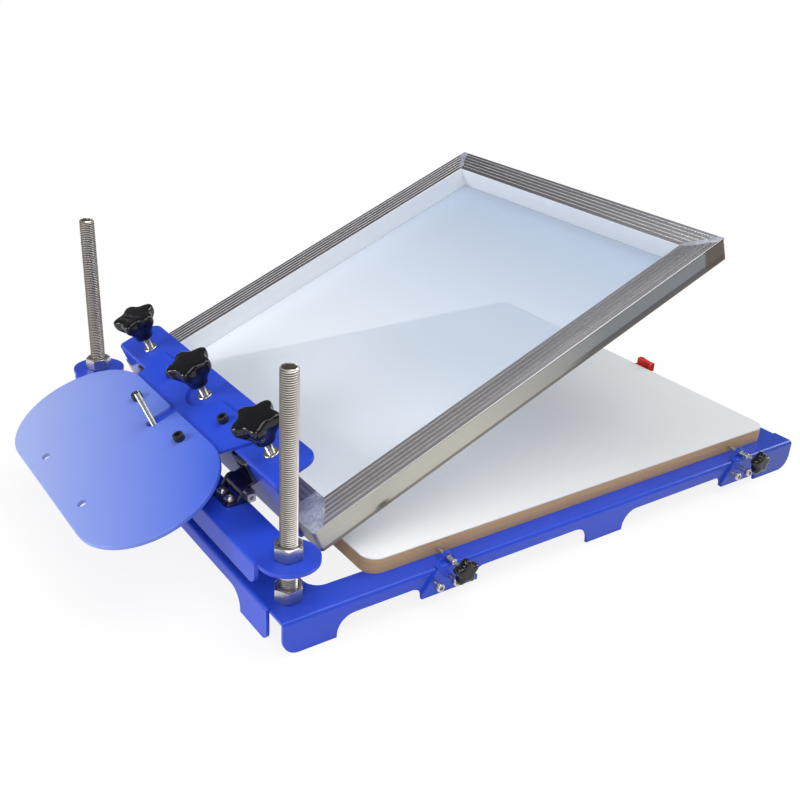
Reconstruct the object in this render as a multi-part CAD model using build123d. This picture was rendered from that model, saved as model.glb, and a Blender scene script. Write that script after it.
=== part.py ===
from build123d import *
import os
from math import cos, radians, sin, sqrt

# A one-colour screen printing press for a bench top.  Millimetres.
# X runs from the hinge to the operator, Y across, Z up from the table.
# X = 0 is the line through the two studs, until the last section moves the origin.

os.makedirs("parts", exist_ok=True)

# ---------------------------------------------------------------- driving sizes

sheet = 3.0             # folded sheet steel
seat_gap = 0.3          # clearance between pieces that only rest on each other
running = 0.05          # radial clearance of a turning fit

base_rear = -25.0       # outer face of the rear flange
base_beyond = 25.0      # base in front of the board
base_half = 256.0       # half width over the side flanges
base_height = 34.0      # top of the sheet above the table
rail_width = 32.0
crossmember = 47.5
rail_drop = 13.5        # depth of the flange between the feet
tab_drop = 26.0         # depth of the flange behind a registration bracket
foot_curve = 18.0
bend = 4.0              # outer radius of a fold
rear_foot = 55.0
middle_foot_at = 352.0
middle_foot = 50.0
front_foot = 44.0
side_inset = 2.0        # side flanges start in from the rear face
opening_corner = 15.0
leg_inset = 25.5        # rear and front legs, in from the side flanges
leg_width = 49.5
fold_relief = 1.2       # slit beside each folded end

board_length = 550.0
board_inset = 21.0      # board's long edges in from the side flanges
board_core = 15.0
laminate = 1.0
board_rear = 75.0
board_corner = 16.0

stud_core = 7.35        # mean radius of the M16 thread
stud_hole = 8.5
stud_inset = 32.0       # studs in from the side flanges
stud_top = 250.0
nut_flats = 24.0
nut_height = 13.0

bar_top = 76.0          # top of the crossbar above the table
bar_sheet = 4.0
bar_rear = -30.0
bar_front = 11.5
bar_flange = 23.0
bar_flange_inset = 5.0  # flange ends in from the studs
tongue_radius = 28.0
neck_curve = 12.0       # where a tongue meets the bar
flange_curve = 10.0

hinge_x = 10.7
hinge_rise = 8.0        # pin above the crossbar
hinge_at = 112.0        # middle of a hinge from the middle plane
hinge_foot = 22.0       # foot of the bracket, behind the pin
hinge_foot_front = 7.5
hinge_ear_back = 12.0   # root of an ear, behind and in front of the pin
hinge_ear_front = 6.0
leaf_window_width = 16.0
leaf_window_low = 15.0  # above the pin
leaf_window_high = 20.0
hinge_length = 36.0
pin_radius = 4.0
knuckle_radius = 6.5
leaf_height = 28.0
hinge_screw = 5.0
hinge_screw_length = 12.0
hinge_screw_back = 14.0  # screws behind the pin
hinge_screw_gap = 16.0
end_block = 6.5
open_angle = 22.7       # screen raised, as it stands on its stop

off_contact = 2.2       # frame above the board when the screen is down
frame_setback = 16.4    # from the pin to the back of the screen frame, screen down
frame_length = 520.0
frame_width = 430.0
frame_bar = 32.0
frame_height = 24.0
frame_corner = 4.0
groove_width = 2.4
groove_depth = 0.9
groove_count = 5
tube_wall = 2.4         # screen-frame tube, under the grooves too
mesh_thickness = 0.4
mesh_margin = 6.0

clamp_length = 360.0
clamp_throat = 36.0     # free height over the screen frame
clamp_depth = 44.5      # top plate over the screen frame
lip_depth = 37.0
clamp_corner = 14.0
clamp_screw_in = 18.0   # screws in front of the frame's rear edge
clamp_screw_at = 138.0
clamp_screw_radius = 4.0
insert_rim = 3.5        # insert's collar beyond the screw
insert_wall = 1.45
insert_collar = 1.2
insert_length = 9.0     # sleeve below the clamp's top
pad_radius = 10.0
pad_height = 5.0
knob_gap = 15.0         # knob above the clamp's top plate
knob_width = 46.0
knob_hub = 12.0
knob_lobe = 18.5

link_sheet = 3.0
link_front = 24.0
link_rear = 45.0
link_half_front = 118.0
link_half_rear = 80.0
link_notch = 25.0
link_screw_in = 9.8
link_screw_at = 60.0

weight_sheet = 4.0
weight_front = 15.5     # behind the frame's rear edge
weight_depth = 143.0
weight_length = 312.0
weight_screw_in = 33.5
weight_screw_at = 51.0
weight_hole_in = 139.0
weight_hole = 4.3
slot_width = 13.0
cap_screw = 8.0         # thread diameter of the black screws
plate_nut_flats = 13.0
plate_nut_height = 6.5

stop_in = 40.0
stop_radius = 3.0
stop_above = 38.0
stop_nut_flats = 10.0
stop_nut_height = 5.0
stop_foot = 5.0

bracket_in = 75.0       # rear bracket in front of the board's rear edge
bracket_back = 65.0     # front bracket behind its front edge
bracket_half = 32.0
bracket_knee = 18.0
bracket_crown = 5.5
bracket_low = 9.0
bracket_step = 7.0      # ear set in from the foot, over the rail's bent edge
register_z = 40.6
register_radius = 1.5
register_spigot = 0.7
register_tip = 4.0
barrel_radius = 2.8
barrel_length = 11.0
register_reach = 8.0    # knob beyond the barrel
small_knob_width = 26.0
small_knob_hub = 3.0
small_knob_lobe = 10.0
bracket_screw = 5.0
bracket_screw_gap = 18.5
bracket_screw_back = 10.0  # screws behind the register screw
bracket_screw_z = 23.5
bracket_screw_stand = 6.5  # heads off the bracket

lever_gap = 10.0        # pivot in front of the board
lever_y = -29.0
lever_turn = 5.0        # grip turned in towards the board
lever_cam_height = 12.0
lever_top = 56.0
lever_grip = 11.0       # thickness of the grip
lever_reach = 21.5
lever_waist = 3.0       # half widths of the grip
lever_waist_curve = 10.0
lever_tail = 5.0
lever_boss = 5.0
lever_cam = 8.0

stop_block = 12.0
stop_block_height = 9.0
edge_stop_in = 105.0    # edge stops in from the board's ends
edge_screw = 4.0
edge_screw_length = 16.0

# ---------------------------------------------------------------- worked out

board_half = base_half - board_inset
board_front = board_rear + board_length
base_front = board_front + base_beyond
stud_half_span = base_half - stud_inset
bar_flange_half = stud_half_span - bar_flange_inset
leg_outer = base_half - leg_inset
leg_inner = leg_outer - leg_width
bracket_at = (board_rear + bracket_in, board_front - bracket_back)
edge_stop_at = (board_rear + edge_stop_in, board_front - edge_stop_in)
clamp_half = clamp_length / 2
board_low = base_height
board_top = board_low + board_core + laminate
rail_low = base_height - rail_drop
tab_low = base_height - tab_drop
opening_rear = base_rear + crossmember
opening_front = base_front - crossmember
opening_half = base_half - rail_width

bar_low = bar_top - bar_sheet
hinge_z = bar_top + hinge_rise

# The swinging pieces are drawn with the screen down and then raised about the pin.
frame_rear = hinge_x + frame_setback
frame_low = board_top + off_contact
frame_top = frame_low + frame_height
mesh_low = frame_low - mesh_thickness
wall_in = frame_rear - seat_gap
wall_out = wall_in - sheet
clamp_top = frame_top + clamp_throat + sheet
clamp_front = frame_rear + clamp_depth
lip_top = mesh_low - seat_gap
lip_low = lip_top - sheet
link_top = clamp_top + link_sheet
weight_top = link_top + weight_sheet
screw_x = frame_rear + clamp_screw_in
pad_low = frame_top + seat_gap
pad_top = pad_low + pad_height
knob_low = clamp_top + knob_gap
register_y = -board_half - seat_gap
bracket_face = -base_half - sheet
ear_face = bracket_face + bracket_step
barrel_end = ear_face - barrel_length
bracket_screws_at = [x - bracket_screw_back + shift for x in bracket_at
                     for shift in (-bracket_screw_gap / 2, bracket_screw_gap / 2)]


# ---------------------------------------------------------------- helpers


def rect(x0, y0, x1, y1):
    """A rectangle between two corners."""
    return Pos((x0 + x1) / 2, (y0 + y1) / 2) * Rectangle(x1 - x0, y1 - y0)


def slab(sketch, low, high):
    """A flat sketch in X and Y, made solid between two heights."""
    return extrude(Pos(0, 0, low) * sketch, amount=high - low)


def across(sketch, y_from, y_to):
    """A sketch in X and Z, made solid between two Y values."""
    return extrude(Plane.XZ.offset(-y_to) * sketch, amount=y_to - y_from)


def along(sketch, x_from, x_to):
    """A sketch in Y and Z, made solid between two X values."""
    return extrude(Plane.YZ.offset(x_from) * sketch, amount=x_to - x_from)


def rod(radius, x, y, low, high):
    """An upright round bar."""
    return Pos(x, y, (low + high) / 2) * Cylinder(radius, high - low)


def rod_y(radius, x, z, y_from, y_to):
    """A round bar along Y."""
    return Pos(x, (y_from + y_to) / 2, z) * Rot(90, 0, 0) * Cylinder(radius, y_to - y_from)


def box(x0, y0, z0, x1, y1, z1):
    """A block between two corners."""
    middle = Pos((x0 + x1) / 2, (y0 + y1) / 2, (z0 + z1) / 2)
    return middle * Box(x1 - x0, y1 - y0, z1 - z0)


def corners(sketch, points, radius):
    """Round those corners of a sketch that lie at the given points."""
    chosen = [v for v in sketch.vertices() for p in points
              if abs(v.X - p[0]) < 0.01 and abs(v.Y - p[1]) < 0.01]
    return fillet(chosen, radius) if chosen else sketch


def nut(flats, height, bore):
    """A chamfered hexagon nut that stands on Z = 0."""
    hexagon = extrude(RegularPolygon(flats / 2, 6, major_radius=False), amount=height)
    corner = flats / 2 / cos(radians(30))
    disc = Pos(0, 0, height / 2) * Cylinder(corner, height)
    disc = chamfer(disc.edges().filter_by(GeomType.CIRCLE), flats * 0.055, flats * 0.09)
    return (hexagon & disc) - Pos(0, 0, height / 2) * Cylinder(bore, height * 2)


def cap_bolt(size, length):
    """A socket cap screw that seats on Z = 0, with its shank below."""
    head = Pos(0, 0, size / 2) * Cylinder(size * 0.8, size)
    head = chamfer(head.edges().group_by(Axis.Z)[-1], size * 0.07)
    socket = extrude(Pos(0, 0, size * 0.5) * RegularPolygon(size * 0.4, 6, major_radius=False), amount=size)
    shank = Pos(0, 0, -length / 2) * Cylinder(size / 2, length)
    return head - socket + shank


def star_knob(width, hub_height, lobe_height, bore, bore_depth):
    """A five-lobed knob on Z = 0: a tapered hub, then the lobes, with a blind bore from below."""
    tip = width * 0.155
    reach = width / 2 - tip
    arm = make_hull((Circle(width * 0.24) + Pos(reach, 0) * Circle(tip)).edges())
    star = Circle(width * 0.24)
    for turn in range(5):
        star += Rot(0, 0, turn * 72 + 18) * arm
    hollows = [v for v in star.vertices() if v.center().length < width * 0.33]
    star = fillet(hollows, width * 0.14)
    lobes = extrude(star, amount=lobe_height)
    lobes = chamfer(lobes.edges().group_by(Axis.Z)[-1], width * 0.05)
    hub = Pos(0, 0, hub_height / 2) * Cone(width * 0.17, width * 0.24, hub_height)
    knob = hub + Pos(0, 0, hub_height) * lobes
    return knob - Pos(0, 0, bore_depth / 2) * Cylinder(bore, bore_depth)


def raised(shape):
    """Turn a piece of the swinging head from the screen-down pose to the raised pose."""
    return shape.rotate(Axis((hinge_x, 0, hinge_z), (0, -1, 0)), open_angle)


def both_sides(shape):
    """A piece and its mirror image on the far side, as two separate solids."""
    return Compound([shape, mirror(shape, about=Plane.XZ)])


# ---------------------------------------------------------------- base


def flange_outline(start, end, feet):
    """A flange as a sketch: a strip with feet, each foot from, to and its lower edge."""
    outline = rect(start, rail_low, end, base_height)
    for foot_from, foot_to, low in feet:
        outline += rect(foot_from, low, foot_to, rail_low + 1)
    for foot_from, foot_to, low in feet:
        curve = min(foot_curve, rail_low - low - 1)
        inner = [(x, rail_low) for x in (foot_from, foot_to) if start < x < end]
        outline = corners(outline, inner, curve)
    return outline


def tray_section(start, end):
    """Cross-section of a sheet folded down at both ends."""
    outer = rect(start, 0, end, base_height)
    outer = corners(outer, [(start, base_height), (end, base_height)], bend)
    inner = rect(start + sheet, -1, end - sheet, base_height - sheet)
    inner_corners = [(start + sheet, base_height - sheet), (end - sheet, base_height - sheet)]
    return outer - corners(inner, inner_corners, bend - sheet)


def make_base():
    side_rear = base_rear + side_inset
    rear_leg = (side_rear, base_rear + rear_foot, 0)
    middle_leg = (middle_foot_at - middle_foot / 2, middle_foot_at + middle_foot / 2, 0)
    front_leg = (base_front - front_foot - foot_curve + 2, base_front, 0)
    tabs = [(x - bracket_half + 2, x + bracket_half - 2, tab_low) for x in bracket_at]
    heels = [(side_rear, 0), (base_front, 0)]
    near = flange_outline(side_rear, base_front, [rear_leg, middle_leg, front_leg] + tabs)
    near = corners(near, heels, foot_curve - 2)
    far = flange_outline(side_rear, base_front, [rear_leg, middle_leg, front_leg])
    far = corners(far, heels, foot_curve - 2)
    sides = along(tray_section(-base_half, base_half), side_rear, base_front)
    sides &= across(near, -base_half - 1, 0) + across(far, 0, base_half + 1)
    relief = leg_outer + fold_relief
    sides -= box(base_rear - 1, -relief, -1, base_rear + bend, relief, base_height + 1)
    sides -= box(base_front - bend, -relief, -1, base_front + 1, relief, base_height + 1)

    end = flange_outline(-leg_outer, leg_outer, [(-leg_outer, -leg_inner, 0), (leg_inner, leg_outer, 0)])
    end = corners(end, [(-leg_outer, 0), (leg_outer, 0)], foot_curve / 2)
    ends = across(tray_section(base_rear, base_front), -leg_outer, leg_outer)
    ends &= along(end, base_rear - 1, base_front + 1)

    opening = rect(opening_rear, -opening_half, opening_front, opening_half)
    opening = fillet(opening.vertices(), opening_corner)
    base = sides + ends - slab(opening, 0, base_height + 1)
    for y in (-stud_half_span, stud_half_span):
        base -= rod(stud_hole, 0, y, 0, base_height * 2)
    for x in bracket_screws_at:
        base -= rod_y(bracket_screw / 2 + 0.1, x, bracket_screw_z, -base_half - 1, -base_half + sheet + 1)
    base -= rod(2.6, board_front + lever_gap, lever_y, 0, base_height * 2)
    for x in edge_stop_at:
        base -= rod(edge_screw / 2 + 0.1, x, base_half - rail_width / 3, 0, base_height * 2)
    return base


def make_board():
    outline = RectangleRounded(board_length, 2 * board_half, board_corner)
    outline = Pos(board_rear + board_length / 2, 0) * outline
    core = slab(outline, board_low, board_low + board_core)
    face = slab(outline, board_low + board_core, board_top)
    return core, face


def make_stud(y):
    low = base_height - sheet - nut_height - 4
    stud = rod(stud_core, 0, y, low, stud_top)
    return chamfer(stud.edges().filter_by(GeomType.CIRCLE), 1.5)


def make_nuts(y, heights):
    """Nuts on one stud, each at its lower face."""
    return Compound([Pos(0, y, z) * Rot(0, 0, 15) * nut(nut_flats, nut_height, stud_core + running)
                     for z in heights])


# ---------------------------------------------------------------- crossbar and hinges


def make_crossbar():
    """A plate with a round tongue at each stud and a flange folded down at the rear."""
    outline = rect(bar_rear + bend, -stud_half_span, bar_front, stud_half_span)
    for side in (-1, 1):
        outline += Pos(0, side * stud_half_span) * Circle(tongue_radius)
    neck = stud_half_span - sqrt(tongue_radius ** 2 - bar_front ** 2)
    outline = corners(outline, [(bar_front, -neck), (bar_front, neck)], neck_curve)
    low = bar_top - bar_flange
    fold = rect(bar_rear, low, bar_rear + bar_sheet, bar_top) + rect(bar_rear, bar_low, 0, bar_top)
    fold = corners(fold, [(bar_rear, bar_top)], bend)
    flange = rect(-bar_flange_half, low, bar_flange_half, bar_top)
    flange = corners(flange, [(-bar_flange_half, low), (bar_flange_half, low)], flange_curve)
    bar = across(fold, -bar_flange_half, bar_flange_half) & along(flange, bar_rear, 0)
    bar += slab(outline, bar_low, bar_top)
    for side in (-1, 1):
        bar -= rod(stud_hole, 0, side * stud_half_span, bar_low - 1, bar_top + 1)
        for shift in (-hinge_screw_gap / 2, hinge_screw_gap / 2):
            bar -= rod(2.6, hinge_x - hinge_screw_back, side * hinge_at + shift, bar_low - 1, bar_top + 1)
    return bar


def make_hinge_bracket(side):
    """A folded foot on the crossbar with an ear at each end of the hinge."""
    y0 = side * hinge_at - hinge_length / 2
    y1 = side * hinge_at + hinge_length / 2
    foot = box(hinge_x - hinge_foot, y0, bar_top, hinge_x - hinge_foot_front, y1, bar_top + sheet)
    foot = fillet(foot.edges().filter_by(Axis.Z).group_by(Axis.X)[0], 4)
    profile = Pos(hinge_x, hinge_z) * Circle(knuckle_radius + 0.5)
    profile += rect(hinge_x - hinge_screw_back, bar_top, hinge_x + knuckle_radius, bar_top + 4)
    root = rect(hinge_x - hinge_ear_back, bar_top, hinge_x + hinge_ear_front, bar_top + 1)
    profile += make_hull((root + Pos(hinge_x, hinge_z) * Circle(knuckle_radius + 0.5)).edges())
    ears = across(profile, y0, y0 + sheet) + across(profile, y1 - sheet, y1)
    bracket = foot + ears
    bracket -= rod_y(pin_radius, hinge_x, hinge_z, y0 - 1, y1 + 1)
    for shift in (-hinge_screw_gap / 2, hinge_screw_gap / 2):
        bracket -= rod(2.6, hinge_x - hinge_screw_back, side * hinge_at + shift, bar_top - 1,
                       bar_top + sheet + 1)
    return bracket


def make_hinge_leaf(side):
    """A rolled knuckle with a slotted leaf that lies on the clamp's rear wall, screen down."""
    half = hinge_length / 2 - sheet - seat_gap
    middle = side * hinge_at
    profile = Pos(hinge_x, hinge_z) * Circle(knuckle_radius)
    web_low = hinge_z + knuckle_radius - sheet
    profile += rect(hinge_x, web_low, wall_out, web_low + sheet)
    profile += rect(wall_out - sheet, web_low, wall_out, hinge_z + leaf_height)
    leaf = across(profile, middle - half, middle + half)
    leaf -= rod_y(pin_radius + running, hinge_x, hinge_z, middle - half - 1, middle + half + 1)
    top = leaf.edges().filter_by(Axis.X).group_by(Axis.Z)[-1]
    leaf = fillet(top, 3)
    window = rect(wall_out - sheet - 1, hinge_z + leaf_window_low, wall_out + 1, hinge_z + leaf_window_high)
    return leaf - across(window, middle - leaf_window_width / 2, middle + leaf_window_width / 2)


def make_hinge_pin(side):
    """The pin, with a thin spigot for the block on its outer end."""
    inner = hinge_at - hinge_length / 2 - 1.5
    outer = hinge_at + hinge_length / 2 + seat_gap
    pin = rod_y(pin_radius, hinge_x, hinge_z, inner, outer)
    pin = chamfer(pin.edges().filter_by(GeomType.CIRCLE).group_by(Axis.Y)[0], 0.8)
    pin += rod_y(pin_radius / 2, hinge_x, hinge_z, outer, outer + end_block - 1.5)
    return pin if side > 0 else mirror(pin, about=Plane.XZ)


def make_end_block(side):
    """A small bright block on the outer end of the pin, with a recess at the spigot."""
    start = hinge_at + hinge_length / 2 + seat_gap
    half = end_block * 0.65
    block = box(hinge_x - half, start, hinge_z - half, hinge_x + half, start + end_block, hinge_z + half)
    block = chamfer(block.edges().filter_by(Axis.Y), 1.2)
    block -= rod_y(pin_radius / 2, hinge_x, hinge_z, start - 1, start + end_block + 1)
    return block if side > 0 else mirror(block, about=Plane.XZ)


def pan_bolt(size, length):
    """A pan-head screw that seats on Z = 0."""
    head = Pos(0, 0, size * 0.3) * Cylinder(size, size * 0.6)
    head = chamfer(head.edges().group_by(Axis.Z)[-1], size * 0.25)
    return head + Pos(0, 0, -length / 2) * Cylinder(size / 2, length)


# ---------------------------------------------------------------- clamp channel


def make_clamp():
    """C channel: top plate, rear wall and lower lip, folded from one sheet."""
    outer = rect(wall_out, lip_low, clamp_front, clamp_top)
    inner = rect(wall_in, lip_top, clamp_front + 1, clamp_top - sheet)
    beyond = rect(wall_out + sheet + lip_depth, lip_low - 1, clamp_front + 1, lip_top + 1)
    profile = outer - beyond
    profile = corners(profile, [(wall_out, lip_low), (wall_out, clamp_top)], bend)
    inner = corners(inner, [(wall_in, lip_top), (wall_in, clamp_top - sheet)], bend - sheet)
    channel = across(profile - inner, -clamp_half, clamp_half)
    plan = rect(wall_out - 1, -clamp_half, clamp_front, clamp_half)
    plan = corners(plan, [(clamp_front, -clamp_half), (clamp_front, clamp_half)], clamp_corner)
    lip_plan = rect(wall_out - 1, -clamp_half, wall_out + sheet + lip_depth, clamp_half)
    front = [(wall_out + sheet + lip_depth, side * clamp_half) for side in (-1, 1)]
    lip_plan = corners(lip_plan, front, clamp_corner)
    middle = (lip_top + clamp_top) / 2
    channel &= slab(plan, middle, clamp_top + 1) + slab(lip_plan, lip_low - 1, middle)
    for y in (-clamp_screw_at, 0, clamp_screw_at):
        channel -= rod(clamp_screw_radius + 1.5, screw_x, y, clamp_top - 5, clamp_top + 5)
    for y in (-link_screw_at, link_screw_at):
        channel -= rod(cap_screw / 2 + 0.25, frame_rear + link_screw_in, y, clamp_top - 5, clamp_top + 5)
    return channel


def make_insert(y):
    """A threaded insert: a collar on the top plate and a sleeve through it."""
    high = clamp_top + insert_collar
    collar = rod(clamp_screw_radius + insert_rim, screw_x, y, clamp_top, high)
    sleeve = rod(clamp_screw_radius + insert_wall, screw_x, y, clamp_top - insert_length, clamp_top)
    bore = rod(clamp_screw_radius + running, screw_x, y, clamp_top - insert_length - 1, high + 1)
    return collar + sleeve - bore


def make_pad(y):
    pad = rod(pad_radius, screw_x, y, pad_low, pad_top)
    pad = chamfer(pad.edges().group_by(Axis.Z)[-1], 1.5)
    return pad - rod(3 + running, screw_x, y, pad_low + 2, pad_top + 1)


def make_clamp_screw(y):
    spigot = rod(3, screw_x, y, pad_low + 2.2, pad_top + 1)
    thread = rod(clamp_screw_radius, screw_x, y, pad_top + seat_gap, knob_low + knob_hub + 6)
    return spigot + thread


def make_clamp_knob(y):
    knob = star_knob(knob_width, knob_hub, knob_lobe, clamp_screw_radius, knob_hub + 6)
    return Pos(screw_x, y, knob_low) * knob


# ---------------------------------------------------------------- link plate and weight plate


def make_link_plate():
    front = frame_rear + link_front
    rear = frame_rear - link_rear
    outline = make_face(Polyline((front, -link_half_front), (front, link_half_front),
                                 (rear, link_half_rear), (rear, -link_half_rear), close=True))
    outline = fillet(outline.vertices(), 6)
    outline -= Pos(front, 0) * Circle(link_notch)
    mouth = [(front, -link_notch), (front, link_notch)]
    outline = corners(outline, mouth, 3)
    plate = slab(outline, clamp_top, link_top)
    for y in (-link_screw_at, link_screw_at):
        plate -= rod(cap_screw / 2 + 0.25, frame_rear + link_screw_in, y, clamp_top - 1, link_top + 1)
    for y in (-weight_screw_at, weight_screw_at):
        plate -= rod(cap_screw / 2 + 0.25, frame_rear - weight_screw_in, y, clamp_top - 1, link_top + 1)
    return plate - rod(stop_radius + running, frame_rear - stop_in, 0, clamp_top - 1, link_top + 1)


def make_weight_plate():
    front = frame_rear - weight_front
    radius = weight_depth / 2
    outline = Pos(front - radius, 0) * SlotOverall(weight_length, weight_depth, rotation=90)
    notch_end = frame_rear - stop_in
    notch = rect(notch_end, -slot_width / 2, front + 1, slot_width / 2)
    notch += Pos(notch_end, 0) * Circle(slot_width / 2)
    outline -= notch
    outline = corners(outline, [(front, -slot_width / 2), (front, slot_width / 2)], 3)
    plate = slab(outline, link_top, weight_top)
    plate = chamfer(plate.edges().group_by(Axis.Z)[-1], 0.6)
    for y in (-weight_screw_at, weight_screw_at):
        plate -= rod(cap_screw / 2 + 0.25, frame_rear - weight_screw_in, y, link_top - 1, weight_top + 1)
        plate -= rod(weight_hole, frame_rear - weight_hole_in, y, link_top - 1, weight_top + 1)
    return plate


def make_link_bolts(x, y, top, low):
    """A pair of black socket cap screws between a top face and the nuts below."""
    bolt = Pos(x, -y, top) * cap_bolt(cap_screw, top - low + 9)
    return both_sides(bolt)


def make_link_nuts(x, y, low):
    piece = nut(plate_nut_flats, plate_nut_height, cap_screw / 2 + running)
    return both_sides(Pos(x, -y, low - plate_nut_height) * piece)


def stop_centre():
    """Height, screen down, of the centre of the round stop foot that clears the crossbar when raised."""
    turn = radians(open_angle)
    back = frame_rear - stop_in - hinge_x
    wanted = bar_top + seat_gap + stop_foot
    return hinge_z + (wanted - hinge_z - back * sin(turn)) / cos(turn)


def make_stop_foot():
    centre = stop_centre()
    x = frame_rear - stop_in
    foot = Pos(x, 0, centre) * Sphere(stop_foot) + rod(stop_foot, x, 0, centre, centre + 6)
    return foot - rod(stop_radius - 0.5 + running, x, 0, centre, centre + 7)


def make_stop_bolt():
    centre = stop_centre()
    x = frame_rear - stop_in
    bolt = rod(stop_radius, x, 0, centre + 6 + seat_gap, weight_top + stop_above)
    bolt = chamfer(bolt.edges().group_by(Axis.Z)[-1], 0.8)
    return bolt + rod(stop_radius - 0.5, x, 0, centre + 0.2, centre + 7)


def make_stop_nut():
    place = Pos(frame_rear - stop_in, 0, clamp_top - stop_nut_height)
    return place * nut(stop_nut_flats, stop_nut_height, stop_radius + running)


# ---------------------------------------------------------------- screen


def bar_section():
    """Section of a screen-frame bar across its length: grooves along the top."""
    section = rect(0, frame_low, frame_bar, frame_top)
    section = corners(section, [(0, frame_top), (frame_bar, frame_top)], 1.2)
    pitch = frame_bar / (groove_count + 1)
    for k in range(groove_count):
        middle = pitch * (k + 1)
        section -= rect(middle - groove_width / 2, frame_top - groove_depth, middle + groove_width / 2,
                        frame_top + 1)
    roof = frame_top - groove_depth - tube_wall
    return section - rect(tube_wall, frame_low + tube_wall, frame_bar - tube_wall, roof)


def make_bars():
    """Four mitred bars of the screen frame."""
    rear = frame_rear
    front = frame_rear + frame_length
    half = frame_width / 2
    plan = Pos((rear + front) / 2, 0) * RectangleRounded(frame_length, frame_width, frame_corner)
    outline = slab(plan, frame_low - 1, frame_top + 1)
    far_in = half - frame_bar
    near_cut = Polyline((rear, -half), (front, -half), (front - frame_bar, -far_in),
                        (rear + frame_bar, -far_in), close=True)
    rear_cut = Polyline((rear, -half), (rear, half), (rear + frame_bar, far_in),
                        (rear + frame_bar, -far_in), close=True)
    near_cut = slab(make_face(near_cut), frame_low - 1, frame_top + 1)
    rear_cut = slab(make_face(rear_cut), frame_low - 1, frame_top + 1)
    near = along(Pos(-half, 0) * bar_section(), rear, front) & near_cut & outline
    back = across(Pos(rear, 0) * bar_section(), -half, half) & rear_cut & outline
    middle = Plane.YZ.offset((rear + front) / 2)
    return near, mirror(near, about=Plane.XZ), back, mirror(back, about=middle)


def make_mesh():
    plan = Pos(frame_rear + frame_length / 2, 0) * Rectangle(frame_length - 2 * mesh_margin,
                                                             frame_width - 2 * mesh_margin)
    return slab(plan, mesh_low, frame_low)


# ---------------------------------------------------------------- board registration


def make_bracket(x):
    """A bell-shaped plate on the side flange, stepped in over the rail to a round ear."""
    low = bracket_low
    foot_top = low + 5
    knee_z = base_height - 2.5
    right = ThreePointArc((bracket_half, foot_top), (bracket_half - 7.4, foot_top + 8.2),
                          (bracket_knee, knee_z))
    crown = ThreePointArc((bracket_crown, register_z), (0, register_z + bracket_crown),
                          (-bracket_crown, register_z))
    left = ThreePointArc((-bracket_knee, knee_z), (-bracket_half + 7.4, foot_top + 8.2),
                         (-bracket_half, foot_top))
    lines = [Line((-bracket_half, low), (bracket_half, low)),
             Line((bracket_half, low), (bracket_half, foot_top)),
             right, Line((bracket_knee, knee_z), (bracket_crown, register_z)), crown,
             Line((-bracket_crown, register_z), (-bracket_knee, knee_z)), left,
             Line((-bracket_half, foot_top), (-bracket_half, low))]
    bell = across(Pos(x, 0) * make_face(Curve() + lines), bracket_face - 1, ear_face + sheet + 1)

    shelf = base_height + seat_gap
    ear_back = ear_face + sheet
    section = rect(bracket_face, low - 1, -base_half, shelf + sheet)
    section += rect(bracket_face, shelf, ear_back, shelf + sheet)
    section += rect(ear_face, shelf, ear_back, register_z + bracket_crown + 1)
    section = corners(section, [(bracket_face, shelf + sheet), (ear_back, shelf)], sheet + 0.5)
    plate = bell & along(section, x - bracket_half - 1, x + bracket_half + 1)
    plate -= rod_y(register_radius + 0.5, x, register_z, bracket_face - 1, ear_back + 1)
    for shift in (-bracket_screw_gap / 2, bracket_screw_gap / 2):
        plate -= rod_y(bracket_screw / 2 + 0.1, x - bracket_screw_back + shift, bracket_screw_z,
                       bracket_face - 1, -base_half + 1)
    return plate


def make_bracket_bolts():
    """Cap screws whose heads stand off the brackets."""
    bolt = Rot(90, 0, 0) * cap_bolt(bracket_screw, bracket_screw_stand + sheet * 2 + 4)
    start = bracket_face - bracket_screw_stand
    return Compound([Pos(x, start, bracket_screw_z) * bolt for x in bracket_screws_at])


def make_barrel(x):
    """The threaded barrel welded on the ear's outer face."""
    barrel = rod_y(barrel_radius, x, register_z, barrel_end, ear_face)
    barrel = chamfer(barrel.edges().filter_by(GeomType.CIRCLE).group_by(Axis.Y)[0], 0.5)
    return barrel - rod_y(register_radius + running, x, register_z, barrel_end - 1, ear_face + 1)


def make_register_tip(x):
    """A swivel tip that bears on the board's edge."""
    tip = rod_y(register_radius, x, register_z, register_y - register_tip, register_y)
    tip = chamfer(tip.edges().group_by(Axis.Y)[-1], 0.4)
    return tip - rod_y(register_spigot + running, x, register_z, register_y - register_tip - 1,
                       register_y - 1.5)


def make_register_screw(x):
    end = barrel_end - register_reach
    screw = rod_y(register_radius, x, register_z, end - small_knob_hub - 6,
                  register_y - register_tip - seat_gap)
    return screw + rod_y(register_spigot, x, register_z, register_y - register_tip - 1, register_y - 1.7)


def make_register_knob(x):
    knob = star_knob(small_knob_width, small_knob_hub, small_knob_lobe, register_radius, small_knob_hub + 6)
    return Pos(x, barrel_end - register_reach, register_z) * Rot(90, 0, 0) * knob


def make_edge_stops():
    """Blocks on the far rail that the board's far edge is pushed against."""
    y = board_half + seat_gap
    blocks = []
    for x in edge_stop_at:
        top = base_height + stop_block_height
        block = box(x - stop_block, y, base_height, x + stop_block, y + stop_block, top)
        block = fillet(block.edges().filter_by(Axis.Z), 2)
        block -= rod(edge_screw / 2 + 0.1, x, base_half - rail_width / 3, base_height - 1, top + 1)
        blocks.append(block)
    return Compound(blocks)


def make_edge_stop_bolts():
    screw = pan_bolt(edge_screw, edge_screw_length)
    top = base_height + stop_block_height
    return Compound([Pos(x, base_half - rail_width / 3, top) * screw for x in edge_stop_at])


# ---------------------------------------------------------------- cam lever


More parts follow.
